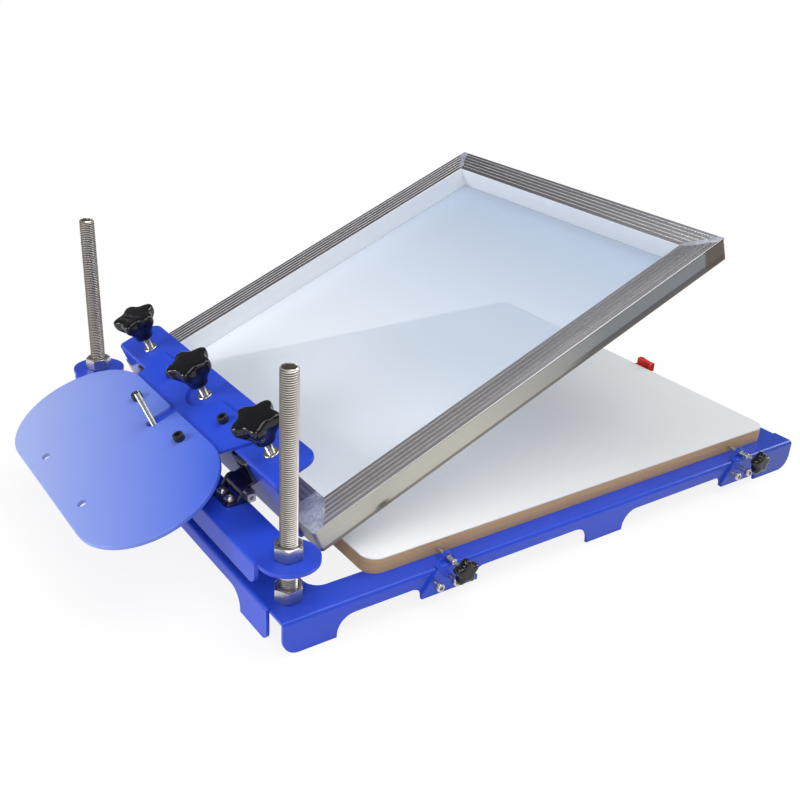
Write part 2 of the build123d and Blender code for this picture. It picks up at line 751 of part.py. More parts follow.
def make_cam_lever():
    """A round cam that presses on the board's front edge, below a waisted grip with a fish tail."""
    cam = Pos(-(lever_gap - lever_cam - seat_gap), 0) * Circle(lever_cam)
    waist_y = -lever_reach * 0.58
    grip = make_face(Polyline((-lever_boss + 0.5, 0), (lever_boss - 0.5, 0), (lever_waist, waist_y),
                              (lever_tail, -lever_reach), (0, -lever_reach + 3), (-lever_tail, -lever_reach),
                              (-lever_waist, waist_y), close=True))
    grip = corners(grip, [(lever_waist, waist_y), (-lever_waist, waist_y)], lever_waist_curve)
    grip = corners(grip, [(lever_tail, -lever_reach), (-lever_tail, -lever_reach)], 1)
    grip += Circle(lever_boss)
    low = base_height + seat_gap
    grip_low = lever_top - lever_grip
    grip = slab(grip, grip_low, lever_top)
    grip = chamfer(grip.edges().group_by(Axis.Z)[-1], 0.8)
    lever = slab(cam, low, low + lever_cam_height) + grip
    lever -= rod(3 + running, 0, 0, low - 1, lever_top + 1)
    return Pos(board_front + lever_gap, lever_y, 0) * Rot(0, 0, -lever_turn) * lever


def make_cam_screw():
    """The lever's shouldered pivot screw, ending just inside the lever's top."""
    x = board_front + lever_gap
    screw = rod(3, x, lever_y, base_height, lever_top - 1)
    return screw + rod(2.5, x, lever_y, base_height - sheet - 6, base_height)


# ---------------------------------------------------------------- all pieces

pieces = {}
pieces["base_frame"] = make_base()
pieces["board_core"], pieces["board_laminate"] = make_board()
for name, side in (("near", -1), ("far", 1)):
    y = side * stud_half_span
    pieces[f"{name}_stud"] = make_stud(y)
    pieces[f"{name}_base_nuts"] = make_nuts(y, (base_height, base_height - sheet - nut_height))
    pieces[f"{name}_crossbar_nuts"] = make_nuts(y, (bar_top, bar_low - nut_height))
    pieces[f"{name}_hinge_bracket"] = make_hinge_bracket(side)
    pieces[f"{name}_hinge_pin"] = make_hinge_pin(side)
    pieces[f"{name}_hinge_leaf"] = raised(make_hinge_leaf(side))
pieces["crossbar"] = make_crossbar()
pieces["hinge_end_blocks"] = Compound([make_end_block(-1), make_end_block(1)])
hinge_bolt = Pos(hinge_x - hinge_screw_back, 0, bar_top + sheet) * pan_bolt(hinge_screw, hinge_screw_length)
hinge_bolts = [Pos(0, side * hinge_at + shift) * hinge_bolt
               for side in (-1, 1) for shift in (-hinge_screw_gap / 2, hinge_screw_gap / 2)]
pieces["hinge_screws"] = Compound(hinge_bolts)

pieces["clamp_channel"] = raised(make_clamp())
clamp_places = (("near", -clamp_screw_at), ("middle", 0), ("far", clamp_screw_at))
pieces["clamp_inserts"] = raised(Compound([make_insert(y) for _, y in clamp_places]))
for name, y in clamp_places:
    pieces[f"{name}_pressure_pad"] = raised(make_pad(y))
    pieces[f"{name}_clamp_screw"] = raised(make_clamp_screw(y))
    pieces[f"{name}_clamp_knob"] = raised(make_clamp_knob(y))

pieces["link_plate"] = raised(make_link_plate())
pieces["weight_plate"] = raised(make_weight_plate())
link_x = frame_rear + link_screw_in
weight_x = frame_rear - weight_screw_in
pieces["link_bolts"] = raised(make_link_bolts(link_x, link_screw_at, link_top, clamp_top - sheet))
pieces["weight_bolts"] = raised(make_link_bolts(weight_x, weight_screw_at, weight_top, clamp_top))
pieces["link_nuts"] = raised(make_link_nuts(link_x, link_screw_at, clamp_top - sheet))
pieces["weight_nuts"] = raised(make_link_nuts(weight_x, weight_screw_at, clamp_top))
pieces["stop_foot"] = raised(make_stop_foot())
pieces["stop_bolt"] = raised(make_stop_bolt())
pieces["stop_lock_nut"] = raised(make_stop_nut())

bar_names = ("near_frame_bar", "far_frame_bar", "rear_frame_bar", "front_frame_bar")
for name, bar in zip(bar_names, make_bars()):
    pieces[name] = raised(bar)
pieces["screen_mesh"] = raised(make_mesh())

for name, x in zip(("rear", "front"), bracket_at):
    pieces[f"{name}_register_bracket"] = make_bracket(x)
    pieces[f"{name}_register_barrel"] = make_barrel(x)
    pieces[f"{name}_register_tip"] = make_register_tip(x)
    pieces[f"{name}_register_screw"] = make_register_screw(x)
    pieces[f"{name}_register_knob"] = make_register_knob(x)
pieces["bracket_bolts"] = make_bracket_bolts()
pieces["edge_stops"] = make_edge_stops()
pieces["edge_stop_bolts"] = make_edge_stop_bolts()
pieces["cam_lever"] = make_cam_lever()
pieces["cam_screw"] = make_cam_screw()

# The origin is moved to the middle of the whole part, on the table.
boxes = [shape.bounding_box() for shape in pieces.values()]
origin_x = (min(b.min.X for b in boxes) + max(b.max.X for b in boxes)) / 2
origin_y = (min(b.min.Y for b in boxes) + max(b.max.Y for b in boxes)) / 2
origin_z = min(b.min.Z for b in boxes)
for name, shape in pieces.items():
    export_step(Pos(-origin_x, -origin_y, -origin_z) * shape, f"parts/{name}.step")
print("origin at", round(origin_x, 3), round(origin_y, 3), round(origin_z, 3), "pieces", len(pieces))
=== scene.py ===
import math

import bpy
from mathutils import Matrix, Vector


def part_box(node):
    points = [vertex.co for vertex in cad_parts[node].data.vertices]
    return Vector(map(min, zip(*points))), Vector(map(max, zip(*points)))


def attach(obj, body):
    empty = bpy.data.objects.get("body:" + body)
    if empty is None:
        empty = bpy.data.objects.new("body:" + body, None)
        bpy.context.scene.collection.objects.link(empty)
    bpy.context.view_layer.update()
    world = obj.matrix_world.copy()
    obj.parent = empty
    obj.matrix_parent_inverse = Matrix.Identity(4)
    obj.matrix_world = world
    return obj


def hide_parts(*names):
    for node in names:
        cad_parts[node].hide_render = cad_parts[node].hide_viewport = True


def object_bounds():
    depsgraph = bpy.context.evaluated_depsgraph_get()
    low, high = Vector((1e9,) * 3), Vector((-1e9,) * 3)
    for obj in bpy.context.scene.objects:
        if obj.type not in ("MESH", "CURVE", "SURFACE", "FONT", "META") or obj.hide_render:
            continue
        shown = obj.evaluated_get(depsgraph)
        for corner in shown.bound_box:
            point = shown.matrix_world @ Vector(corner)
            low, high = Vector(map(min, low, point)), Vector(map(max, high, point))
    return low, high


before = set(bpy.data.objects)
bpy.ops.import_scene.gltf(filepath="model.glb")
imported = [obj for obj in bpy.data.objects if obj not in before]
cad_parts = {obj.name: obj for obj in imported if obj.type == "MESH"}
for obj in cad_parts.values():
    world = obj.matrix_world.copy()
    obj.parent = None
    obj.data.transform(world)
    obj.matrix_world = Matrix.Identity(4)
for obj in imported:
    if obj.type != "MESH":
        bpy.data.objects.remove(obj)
cadLow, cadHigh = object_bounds()

# the lines that everything is set out from, in metres from the stud line and the press's middle
layout = {
    "pinX": 0.0107,             # hinge pin
    "pinZ": 0.084,
    "raised": 22.7,             # degrees that the head stands open
    "frameRear": 0.0271,        # screen frame, screen down
    "frameLong": 0.520,
    "frameHalf": 0.215,
    "frameLow": 0.0522,
    "frameTop": 0.0762,
    "baseTop": 0.034,
    "barTop": 0.076,
    "clampTop": 0.1152,         # these three with the screen down
    "linkTop": 0.1182,
    "weightTop": 0.1222,
    "studSpan": 0.224,
    "registerZ": 0.0406,
}
nearLow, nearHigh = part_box("near_stud")
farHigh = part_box("far_stud")[1]
studLine = Vector(((nearLow.x + nearHigh.x) / 2, (nearLow.y + farHigh.y) / 2, 0))


def place(x, y, z):
    return studLine + Vector((x, y, z))


# the head's pieces are made with the screen down, then turned up about the pin with this
pin = place(layout["pinX"], 0, layout["pinZ"])
lift = Matrix.Rotation(-math.radians(layout["raised"]), 4, "Y")
liftHead = Matrix.Translation(pin) @ lift @ Matrix.Translation(-pin)

cameraSetup = {
    "spot": (-0.358390, -0.861557, 0.569801),
    "turn": (63.43226, -2.63515, -34.05586),
    "lens": 46.575,
    "sensor": 36,
    "shiftX": 0.01631,
    "shiftY": 0.02752,
    "clip": (0.01, 50),
}
cameraData = bpy.data.cameras.new("camera")
camera = bpy.data.objects.new("camera", cameraData)
bpy.context.scene.collection.objects.link(camera)
camera.location = place(*cameraSetup["spot"])
camera.rotation_euler = [math.radians(a) for a in cameraSetup["turn"]]
cameraData.lens = cameraSetup["lens"]
cameraData.sensor_width = cameraSetup["sensor"]
cameraData.shift_x = cameraSetup["shiftX"]
cameraData.shift_y = cameraSetup["shiftY"]
cameraData.clip_start, cameraData.clip_end = cameraSetup["clip"]
bpy.context.scene.camera = camera
bpy.context.scene.view_settings.view_transform = "Standard"

lamps = [
    {"name": "keyPanel", "spot": (-1.3, -1.5, 1.3), "size": 1.5, "power": 23, "aim": (-0.05, 0.0, 0.1)},
    {"name": "topPanel", "spot": (0.3, -0.35, 2.3), "size": 2.0, "power": 37, "aim": (0.0, 0.0, 0.05)},
    {"name": "leftPanel", "spot": (-2.0, 0.6, 0.7), "size": 0.9, "power": 24, "aim": (-0.2, 0.0, 0.1)},
    {"name": "frontPanel", "spot": (3.2, -0.3, 1.5), "size": 1.8, "power": 62, "aim": (0.0, 0.0, 0.05)},
]
for lamp in lamps:
    lightData = bpy.data.lights.new(lamp["name"], "AREA")
    lightData.size = lamp["size"]
    lightData.energy = lamp["power"]
    light = bpy.data.objects.new(lamp["name"], lightData)
    bpy.context.scene.collection.objects.link(light)
    light.location = lamp["spot"]
    towards = Vector(lamp["aim"]) - Vector(lamp["spot"])
    light.rotation_euler = towards.to_track_quat("-Z", "Y").to_euler()

print("camera and lamps set")


class Number:
    # wraps a node's output so that maths on it can be written as an expression
    def __init__(self, nodeTree, output):
        self.nodeTree = nodeTree
        self.output = output

    def step(self, operation, *values):
        mathNode = self.nodeTree.nodes.new("ShaderNodeMath")
        mathNode.operation = operation
        for slotNumber, value in enumerate(values):
            if isinstance(value, Number):
                self.nodeTree.links.new(value.output, mathNode.inputs[slotNumber])
            else:
                mathNode.inputs[slotNumber].default_value = value
        return Number(self.nodeTree, mathNode.outputs[0])

    def __add__(self, other):
        return self.step("ADD", self, other)

    def __radd__(self, other):
        return self.step("ADD", other, self)

    def __sub__(self, other):
        return self.step("SUBTRACT", self, other)

    def __rsub__(self, other):
        return self.step("SUBTRACT", other, self)

    def __mul__(self, other):
        return self.step("MULTIPLY", self, other)

    def __rmul__(self, other):
        return self.step("MULTIPLY", other, self)

    def __pow__(self, other):
        return self.step("POWER", self, other)

    def __gt__(self, other):
        return self.step("GREATER_THAN", self, other)

    def __lt__(self, other):
        return self.step("LESS_THAN", self, other)

    def size(self):
        return self.step("ABSOLUTE", self)

    def least(self, other):
        return self.step("MINIMUM", self, other)

    def most(self, other):
        return self.step("MAXIMUM", self, other)

    def held(self):
        return self.least(1.0).most(0.0)


class Finish:
    # one material: nodes are added by kind, with settings first and then socket values
    def __init__(self, name, slotName=None):
        self.material = bpy.data.materials.new(name)
        self.material.use_nodes = True
        self.slotName = slotName
        self.nodeTree = self.material.node_tree
        self.shader = self.nodeTree.nodes["Principled BSDF"]

    def node(self, kind, settings=None, sockets=None, out=0):
        made = self.nodeTree.nodes.new(kind)
        for key, value in (settings or {}).items():
            setattr(made, key, value)
        for key, value in (sockets or {}).items():
            self.feed(made.inputs[key], value)
        return Number(self.nodeTree, made.outputs[out])

    def feed(self, socket, value):
        if isinstance(value, Number):
            self.nodeTree.links.new(value.output, socket)
        elif hasattr(value, "__len__") and len(value) == 3 and socket.type == "RGBA":
            socket.default_value = (*value, 1)
        else:
            socket.default_value = value

    def spot(self, lowered=False):
        # object coordinates, for the head's pieces turned back to the screen-down pose
        where = self.node("ShaderNodeTexCoord", out="Object")
        if not lowered:
            return where
        back = liftHead.inverted()
        return self.node("ShaderNodeMapping", sockets={
            "Vector": where, "Rotation": tuple(back.to_euler()), "Location": tuple(back.to_translation())})

    def parts(self, vector):
        split = self.nodeTree.nodes.new("ShaderNodeSeparateXYZ")
        self.nodeTree.links.new(vector.output, split.inputs[0])
        return [Number(self.nodeTree, output) for output in split.outputs]

    def stretched(self, vector, scale, turn=(0, 0, 0)):
        return self.node("ShaderNodeMapping", sockets={"Vector": vector, "Scale": scale, "Rotation": turn})

    def noise(self, vector, scale, detail=3.0, rough=0.5):
        return self.node("ShaderNodeTexNoise", sockets={
            "Vector": vector, "Scale": scale, "Detail": detail, "Roughness": rough})

    def mixed(self, mask, colourA, colourB, blend="MIX"):
        mixer = self.nodeTree.nodes.new("ShaderNodeMix")
        mixer.data_type = "RGBA"
        mixer.blend_type = blend
        for socketNumber, value in ((0, mask), (6, colourA), (7, colourB)):
            self.feed(mixer.inputs[socketNumber], value)
        return Number(self.nodeTree, mixer.outputs[2])

    def bump(self, height, distance, strength=1.0, under=None):
        sockets = {"Height": height, "Distance": distance, "Strength": strength}
        if under is not None:
            sockets["Normal"] = under
        return self.node("ShaderNodeBump", sockets=sockets)

    def softEdge(self, radius):
        return self.node("ShaderNodeBevel", {"samples": 4}, {"Radius": radius})

    def set(self, **values):
        names = {"colour": "Base Color", "rough": "Roughness", "metal": "Metallic", "coat": "Coat Weight",
                 "coatRough": "Coat Roughness", "alpha": "Alpha", "normal": "Normal", "sheen": "Sheen Weight",
                 "gloss": "Specular IOR Level"}
        for key, value in values.items():
            self.feed(self.shader.inputs[names[key]], value)
        return self


def shaded(colour, times, plus=0.0):
    return [min(1, c * times + plus) for c in colour]


# powder coat: orange peel, a slow drift of tone, pale specks and scuffs, painted shade deepening the blue at
# the operator's end, and a painted sheen on the pale plate
paintLooks = {
    "blue": {"name": "bluePaint", "slot": "blue_paint", "colour": (0.026, 0.072, 0.60),
             "deep": (0.021, 0.060, 0.52), "paintedSheen": None},
    # the pale plate's second colour is a painted sheen
    "paleBlue": {"name": "paleBluePaint", "slot": "pale_blue_paint", "colour": (0.045, 0.112, 0.62),
                 "deep": (0.038, 0.102, 0.59), "paintedSheen": (0.34, 0.41, 0.71)},
}
paintGrain = {
    "peelScale": 420, "peelHigh": 0.0004,
    "driftScale": 9,
    "speckScale": 1500, "speckAbove": 0.71, "speckShow": 0.35,
    "scuffStretch": (60, 900, 300), "scuffTurn": (0.3, 0.2, 0.6), "scuffAbove": 0.70, "scuffShow": 0.10,
    "rough": 0.26, "gloss": 0.24, "coat": 0.22, "coatRough": 0.10, "edge": 0.0007,
}
# painted shade: the blue darkens towards the operator's end
frontShade = {"colour": (0.016, 0.052, 0.34), "from": 0.40, "slope": 5.0, "most": 0.7}
# painted sheen: where it starts and how it spreads over the pale plate
paintedSheenSpread = {"rear": 0.005, "alongSlope": 4.17, "near": 0.15, "acrossSlope": 1.67}


def powderCoat(look):
    paint = Finish(look["name"], look["slot"])
    where = paint.spot(lowered=look["paintedSheen"] is not None)
    peel = paint.noise(where, paintGrain["peelScale"], 2)
    drift = paint.noise(where, paintGrain["driftScale"], 3)
    speck = paint.noise(where, paintGrain["speckScale"], 2) > paintGrain["speckAbove"]
    scratched = paint.stretched(where, paintGrain["scuffStretch"], paintGrain["scuffTurn"])
    scuff = paint.noise(scratched, 1, 4) > paintGrain["scuffAbove"]
    x, y = paint.parts(where)[:2]
    # painted shade towards the operator's end
    front = ((x - studLine.x - frontShade["from"]) * frontShade["slope"]).held() * frontShade["most"]
    base = paint.mixed(drift * 1.6 - 0.3, look["deep"], look["colour"])
    base = paint.mixed(front, base, frontShade["colour"])
    base = paint.mixed(speck * paintGrain["speckShow"], base, shaded(look["colour"], 1.5))
    base = paint.mixed(scuff * paintGrain["scuffShow"], base, shaded(look["colour"], 1.7))
    if look["paintedSheen"]:
        # painted sheen, paler towards the far rear end of the plate
        spread = ((studLine.x - paintedSheenSpread["rear"] - x) * paintedSheenSpread["alongSlope"]
                  + (y - studLine.y + paintedSheenSpread["near"]) * paintedSheenSpread["acrossSlope"])
        base = paint.mixed((spread + drift * 0.08 - 0.04).held(), base, look["paintedSheen"])
    normal = paint.bump(peel, paintGrain["peelHigh"], 0.16, paint.softEdge(paintGrain["edge"]))
    paint.set(colour=base, rough=paintGrain["rough"] + drift * 0.08 + scuff * 0.1, normal=normal,
              gloss=paintGrain["gloss"], coat=paintGrain["coat"], coatRough=paintGrain["coatRough"])
    return paint


# sawn edge of the fibreboard
fibreLook = {
    "dark": (0.40, 0.25, 0.125),
    "pale": (0.62, 0.42, 0.225),
    "chip": (0.32, 0.19, 0.09),
    "blotch": (0.54, 0.365, 0.195),
    "layers": (14, 14, 900),
    "chipScale": 620,
    "chipAbove": 0.62,
    "blotchScale": 22,
    "rough": 0.72,
    "relief": 0.0004,
}


def boardEdge():
    fibre = Finish("boardEdge", "board_core")
    where = fibre.spot()
    layers = fibre.noise(fibre.stretched(where, fibreLook["layers"]), 1, 4)
    chips = fibre.noise(where, fibreLook["chipScale"], 3)
    blotch = fibre.noise(where, fibreLook["blotchScale"], 3)
    base = fibre.mixed(layers * 1.5 - 0.25, fibreLook["dark"], fibreLook["pale"])
    base = fibre.mixed((chips > fibreLook["chipAbove"]) * 0.45, base, fibreLook["chip"])
    base = fibre.mixed(blotch * 0.5, base, fibreLook["blotch"])
    fibre.set(colour=base, rough=fibreLook["rough"] - layers * 0.1,
              normal=fibre.bump(chips * 0.6 + layers, fibreLook["relief"], 0.5))
    return fibre


# white laminate with faint wipe marks, with painted light making it paler towards the clamp and painted shade
# making it darker towards the front
laminateLook = {
    "rear": (0.92, 0.925, 0.93),
    "front": (0.66, 0.67, 0.68),
    "cloud": (0.69, 0.70, 0.71),
    "scratch": (0.61, 0.62, 0.63),
    "from": 0.12,               # where the tone begins to fall, and how fast
    "slope": 2.2,
    "grainScale": 900,
    "cloudScale": 4,
    "wipe": (260, 14, 1),
    "wipeTurn": (0, 0, 0.5),
    "wipeAbove": 0.69,
    "rough": 0.36,
    "gloss": 0.42,
}


def laminateTop():
    skin = Finish("laminateTop", "laminate")
    where = skin.spot()
    grain = skin.noise(where, laminateLook["grainScale"], 2)
    cloud = skin.noise(where, laminateLook["cloudScale"], 2)
    wipe = skin.noise(skin.stretched(where, laminateLook["wipe"], laminateLook["wipeTurn"]), 1, 4)
    scratch = (wipe > laminateLook["wipeAbove"]) * 0.25
    # painted light towards the clamp, painted shade towards the front
    along = ((skin.parts(where)[0] - studLine.x - laminateLook["from"]) * laminateLook["slope"]).held()
    base = skin.mixed(along, laminateLook["rear"], laminateLook["front"])
    base = skin.mixed(cloud * 0.3, base, laminateLook["cloud"])
    base = skin.mixed(scratch * 0.35, base, laminateLook["scratch"])
    skin.set(colour=base, rough=laminateLook["rough"] + grain * 0.1 + scratch * 0.3,
             gloss=laminateLook["gloss"], normal=skin.bump(grain, 0.00012, 0.25, skin.softEdge(0.0004)))
    return skin


# plated nuts, barrels and screws with fine lathe rings
steelLook = {
    "bright": (0.62, 0.61, 0.60),
    "stain": (0.42, 0.40, 0.37),
    "stainScale": 55,
    "rings": (500, 500, 3200),
    "metal": 0.95,
    "rough": 0.16,
}


def turnedSteel():
    steel = Finish("brightSteel", "bright_steel")
    where = steel.spot()
    stain = steel.noise(where, steelLook["stainScale"], 3)
    lathe = steel.noise(steel.stretched(where, steelLook["rings"]), 1, 2)
    base = steel.mixed(stain * 1.5 - 0.45, steelLook["bright"], steelLook["stain"])
    steel.set(colour=base, metal=steelLook["metal"], rough=steelLook["rough"] + stain * 0.14,
              normal=steel.bump(lathe, 0.00008, 0.2, steel.softEdge(0.0003)))
    return steel


# threads: painted shade darkens the valleys against the bright crests; on the studs it begins at a radius, on
# other threads it follows the shape
threadLooks = {
    "stud": {"name": "studSteel", "crest": (0.76, 0.72, 0.665), "valleyShade": (0.075, 0.058, 0.048),
             "valleyAt": 0.0079},
    "screwThread": {"name": "screwSteel", "crest": (0.62, 0.60, 0.56), "valleyShade": (0.16, 0.14, 0.12)},
    "stopSteel": {"name": "stopSteel", "crest": (0.50, 0.53, 0.53), "valleyShade": (0.20, 0.21, 0.21)},
}
threadWear = {
    "stainScale": 40,
    "grime": (0.24, 0.18, 0.13),
    "grimeStretch": (90, 90, 9),
    "grimeAbove": 0.60,
    "valleyShadeTop": 0.2483,          # above this, on a stud's chamfered end, no valley shade is painted
    "metal": 0.92,
    "rough": 0.22,
}


def threadSteel(look):
    steel = Finish(look["name"], "threaded_steel")
    where = steel.spot()
    stain = steel.noise(where, threadWear["stainScale"], 3)
    grime = steel.noise(steel.stretched(where, threadWear["grimeStretch"]), 1, 3) > threadWear["grimeAbove"]
    if "valleyAt" in look:
        x, y, z = steel.parts(where)
        fromMiddle = (y - studLine.y).size() - layout["studSpan"]
        fromAxis = ((x - studLine.x) ** 2.0 + fromMiddle ** 2.0) ** 0.5
        sunk = ((look["valleyAt"] - fromAxis) * 1100.0).held() * (z < threadWear["valleyShadeTop"])
    else:
        height = steel.node("ShaderNodeNewGeometry", out="Pointiness")
        sunk = ((0.5 - height) * 12.0).held()
    base = steel.mixed((stain * 1.6 - 0.5).held(), look["crest"], shaded(look["crest"], 0.72))
    # painted shade in the thread valleys
    base = steel.mixed(sunk, base, look["valleyShade"])
    base = steel.mixed(grime * 0.25, base, threadWear["grime"])
    steel.set(colour=base, metal=threadWear["metal"], rough=threadWear["rough"] + stain * 0.12 + sunk * 0.2)
    return steel


# hinges, black plated and a little pitted
chromeLook = {
    "dark": (0.10, 0.10, 0.11),
    "pale": (0.26, 0.255, 0.26),
    "cloudScale": 70,
    "pit": (0.05, 0.045, 0.045),
    "pitScale": 900,
    "pitAbove": 0.70,
    "rough": 0.16,
}


def darkChrome():
    plating = Finish("darkChrome", "black_chrome")
    where = plating.spot()
    cloud = plating.noise(where, chromeLook["cloudScale"], 3)
    pits = plating.noise(where, chromeLook["pitScale"], 2) > chromeLook["pitAbove"]
    base = plating.mixed(cloud, chromeLook["dark"], chromeLook["pale"])
    base = plating.mixed(pits * 0.5, base, chromeLook["pit"])
    plating.set(colour=base, metal=1.0, rough=chromeLook["rough"] + cloud * 0.16,
                normal=plating.bump(cloud, 0.0003, 0.15, plating.softEdge(0.0005)))
    return plating


# black cap screws
oxideLook = {"dark": (0.012, 0.012, 0.013), "pale": (0.04, 0.038, 0.038), "gritScale": 1400, "metal": 0.4,
             "rough": 0.36}


def blackOxide():
    oxide = Finish("blackOxide", "black_screws")
    where = oxide.spot()
    grit = oxide.noise(where, oxideLook["gritScale"], 2)
    base = oxide.mixed(grit, oxideLook["dark"], oxideLook["pale"])
    oxide.set(colour=base, metal=oxideLook["metal"], rough=oxideLook["rough"] + grit * 0.15,
              normal=oxide.bump(grit, 0.0001, 0.3, oxide.softEdge(0.0003)))
    return oxide


# moulded knobs, pads and the lever
plasticLooks = {
    "knob": {"name": "knobPlastic", "slot": "black_plastic", "colour": (0.0035, 0.0033, 0.0045),
             "rough": 0.07, "dusty": 0.0},
    "pad": {"name": "padPlastic", "slot": "pad_plastic", "colour": (0.045, 0.045, 0.048),
            "rough": 0.45, "dusty": 0.3},
    "red": {"name": "redPlastic", "slot": "red_plastic", "colour": (0.56, 0.022, 0.018),
            "rough": 0.3, "dusty": 0.3},
}
plasticGrain = {"flowScale": 120, "gritScale": 1900, "dustScale": 700, "dustAbove": 0.74, "gloss": 0.42}


def mouldedPlastic(look):
    plastic = Finish(look["name"], look["slot"])
    where = plastic.spot()
    flow = plastic.noise(where, plasticGrain["flowScale"], 3)
    grit = plastic.noise(where, plasticGrain["gritScale"], 2)
    dust = (plastic.noise(where, plasticGrain["dustScale"], 2) > plasticGrain["dustAbove"]) * look["dusty"]
    base = plastic.mixed(flow, look["colour"], shaded(look["colour"], 1.35, 0.002))
    base = plastic.mixed(dust * 0.4, base, shaded(look["colour"], 0.6, 0.12))
    plastic.set(colour=base, rough=look["rough"] + flow * 0.03 + dust * 0.2, gloss=plasticGrain["gloss"],
                normal=plastic.bump(flow * 0.5 + grit * 0.1, 0.0002, 0.015))
    return plastic


# the screen frame's tube: light and reflection are painted in by face, the top darker than the walls, the
# inner walls pale and the underside shaded, and the grain runs along each bar
tubeLook = {
    "wall": ((0.46, 0.44, 0.375), (0.62, 0.60, 0.53)),      # outer walls, painted reflection, cream near the clamp
    "dull": (0.225, 0.24, 0.26),                            # and painted reflection in dull grey from here on
    "dullFrom": 0.20,
    "lowLine": (0.06, 0.06, 0.065),                         # dark line along the lower front
    "lowLineFrom": 0.315,
    "lowLineHigh": 0.0078,
    # painted light and shade by face: inner walls pale, the top darker, the underside shaded
    "inner": (0.93, 0.95, 0.97),
    "top": ((0.25, 0.245, 0.26), (0.46, 0.45, 0.465)),
    "topCloud": (0.40, 0.38, 0.38),
    "topNear": (1.25, 1.26, 1.30),                          # painted light: brightness of the top across the frame
    "topFar": (0.72, 0.69, 0.73),
    "under": (0.40, 0.40, 0.39),
    "grain": (0.75, 0.74, 0.72),
    "grainAlong": 5,                                        # scales of the grain along and across a bar
    "grainAcross": 800,
    "streakAcross": 60,
    "cloudScale": 26,
    "metal": 0.86,
    "rough": 0.30,
    "footBand": (0.15, 0.125, 0.10),                            # dark band along the foot of the near wall
    "footBandHigh": 0.0034,
    # darker patch at the front end of the near wall
    "endDark": (0.10, 0.075, 0.06),
    "endDarkLong": 0.026,
    # dark round patch low on the near wall, near its rear end
    "darkSpot": (0.07, 0.065, 0.06),
    "darkSpotX": 0.0965,
    "darkSpotZ": 0.057,
}


def extrudedAluminium(name, alongX):
    metal = Finish(name, "frame_aluminium")
    where = metal.spot(lowered=True)
    grain, broad = [
        metal.noise(metal.stretched(where, (tubeLook["grainAlong"], side, side) if alongX
                                    else (side, tubeLook["grainAlong"], side)), 1, 3)
        for side in (tubeLook["grainAcross"], tubeLook["streakAcross"])]
    cloud = metal.noise(where, tubeLook["cloudScale"], 3)
    facing = metal.node("ShaderNodeNewGeometry", out="True Normal")
    lowered = metal.node("ShaderNodeMapping", {"vector_type": "NORMAL"},
                         {"Vector": facing, "Rotation": (0, math.radians(layout["raised"]), 0)})
    nx, ny, nz = metal.parts(lowered)
    x, y, z = metal.parts(where)
    along = x - studLine.x
    across = y - studLine.y
    top = nz > 0.6
    under = nz < -0.6
    middleX = layout["frameRear"] + layout["frameLong"] / 2
    inner = ((nx * (along - middleX)) < -0.05).most((ny * across) < -0.05)
    nearWall = (ny < -0.5) * (across < 0.0)

    # painted reflection on the walls
    wall = metal.mixed(broad, *tubeLook["wall"])
    wall = metal.mixed(((along - tubeLook["dullFrom"]) * 5.5).held(), wall, tubeLook["dull"])
    lowLine = z < studLine.z + layout["frameLow"] + tubeLook["lowLineHigh"]
    lowLine = lowLine * ((along - tubeLook["lowLineFrom"]) * 24.0).held()
    wall = metal.mixed(lowLine * 0.7, wall, tubeLook["lowLine"])
    wall = metal.mixed(inner, wall, tubeLook["inner"])

    # painted light on the top, brighter on the near side
    crown = metal.mixed(broad * 1.3 - 0.15, *tubeLook["top"])
    crown = metal.mixed(cloud * 0.4, crown, tubeLook["topCloud"])
    tone = metal.mixed((0.5 - across * 2.6).held(), tubeLook["topFar"], tubeLook["topNear"])
    crown = metal.mixed(1.0, crown, tone, "MULTIPLY")

    # painted light and shade picked by which way each face looks
    base = metal.mixed(top, wall, crown)
    base = metal.mixed(under, base, tubeLook["under"])
    base = metal.mixed(grain * 0.35, base, tubeLook["grain"], "MULTIPLY")
    # dark band along the foot of the near wall
    footBand = (z < studLine.z + layout["frameLow"] + tubeLook["footBandHigh"]) * nearWall
    base = metal.mixed(footBand * 0.75, base, tubeLook["footBand"])
    # darker patch at the front end of the near wall
    endDarkFrom = layout["frameRear"] + layout["frameLong"] - tubeLook["endDarkLong"]
    endDarkened = ((along + cloud * 0.012 - endDarkFrom) * 260.0).held() * nearWall
    base = metal.mixed(endDarkened * 0.8, base, tubeLook["endDark"])
    # dark round patch low on the near wall, near its rear end
    darkSpotX = (along - tubeLook["darkSpotX"]) * 130.0
    darkSpotZ = (z - studLine.z - tubeLook["darkSpotZ"]) * 380.0
    darkSpot = (1.1 - (darkSpotX * darkSpotX + darkSpotZ * darkSpotZ) ** 0.5 + cloud * 0.5).held() * nearWall
    base = metal.mixed(darkSpot * 0.85, base, tubeLook["darkSpot"])
    metal.set(colour=base, metal=tubeLook["metal"] - inner * (1.0 - top) * 0.45,
              rough=tubeLook["rough"] + broad * 0.18,
              normal=metal.bump(grain, 0.0001, 0.2, metal.softEdge(0.0006)))
    return metal


# welds ground flush, with crossing scratches
groundLook = {
    "dark": (0.33, 0.36, 0.45),
    "pale": (0.62, 0.66, 0.75),
    "patchScale": 70,
    "scratch": (0.95, 0.96, 1.0),
    "scratches": (((900, 160, 900), (0, 0, 0.8)), ((160, 900, 900), (0, 0, 0.5))),
    "scratchFrom": 0.56,
    "metal": 0.6,
    "rough": 0.30,
}


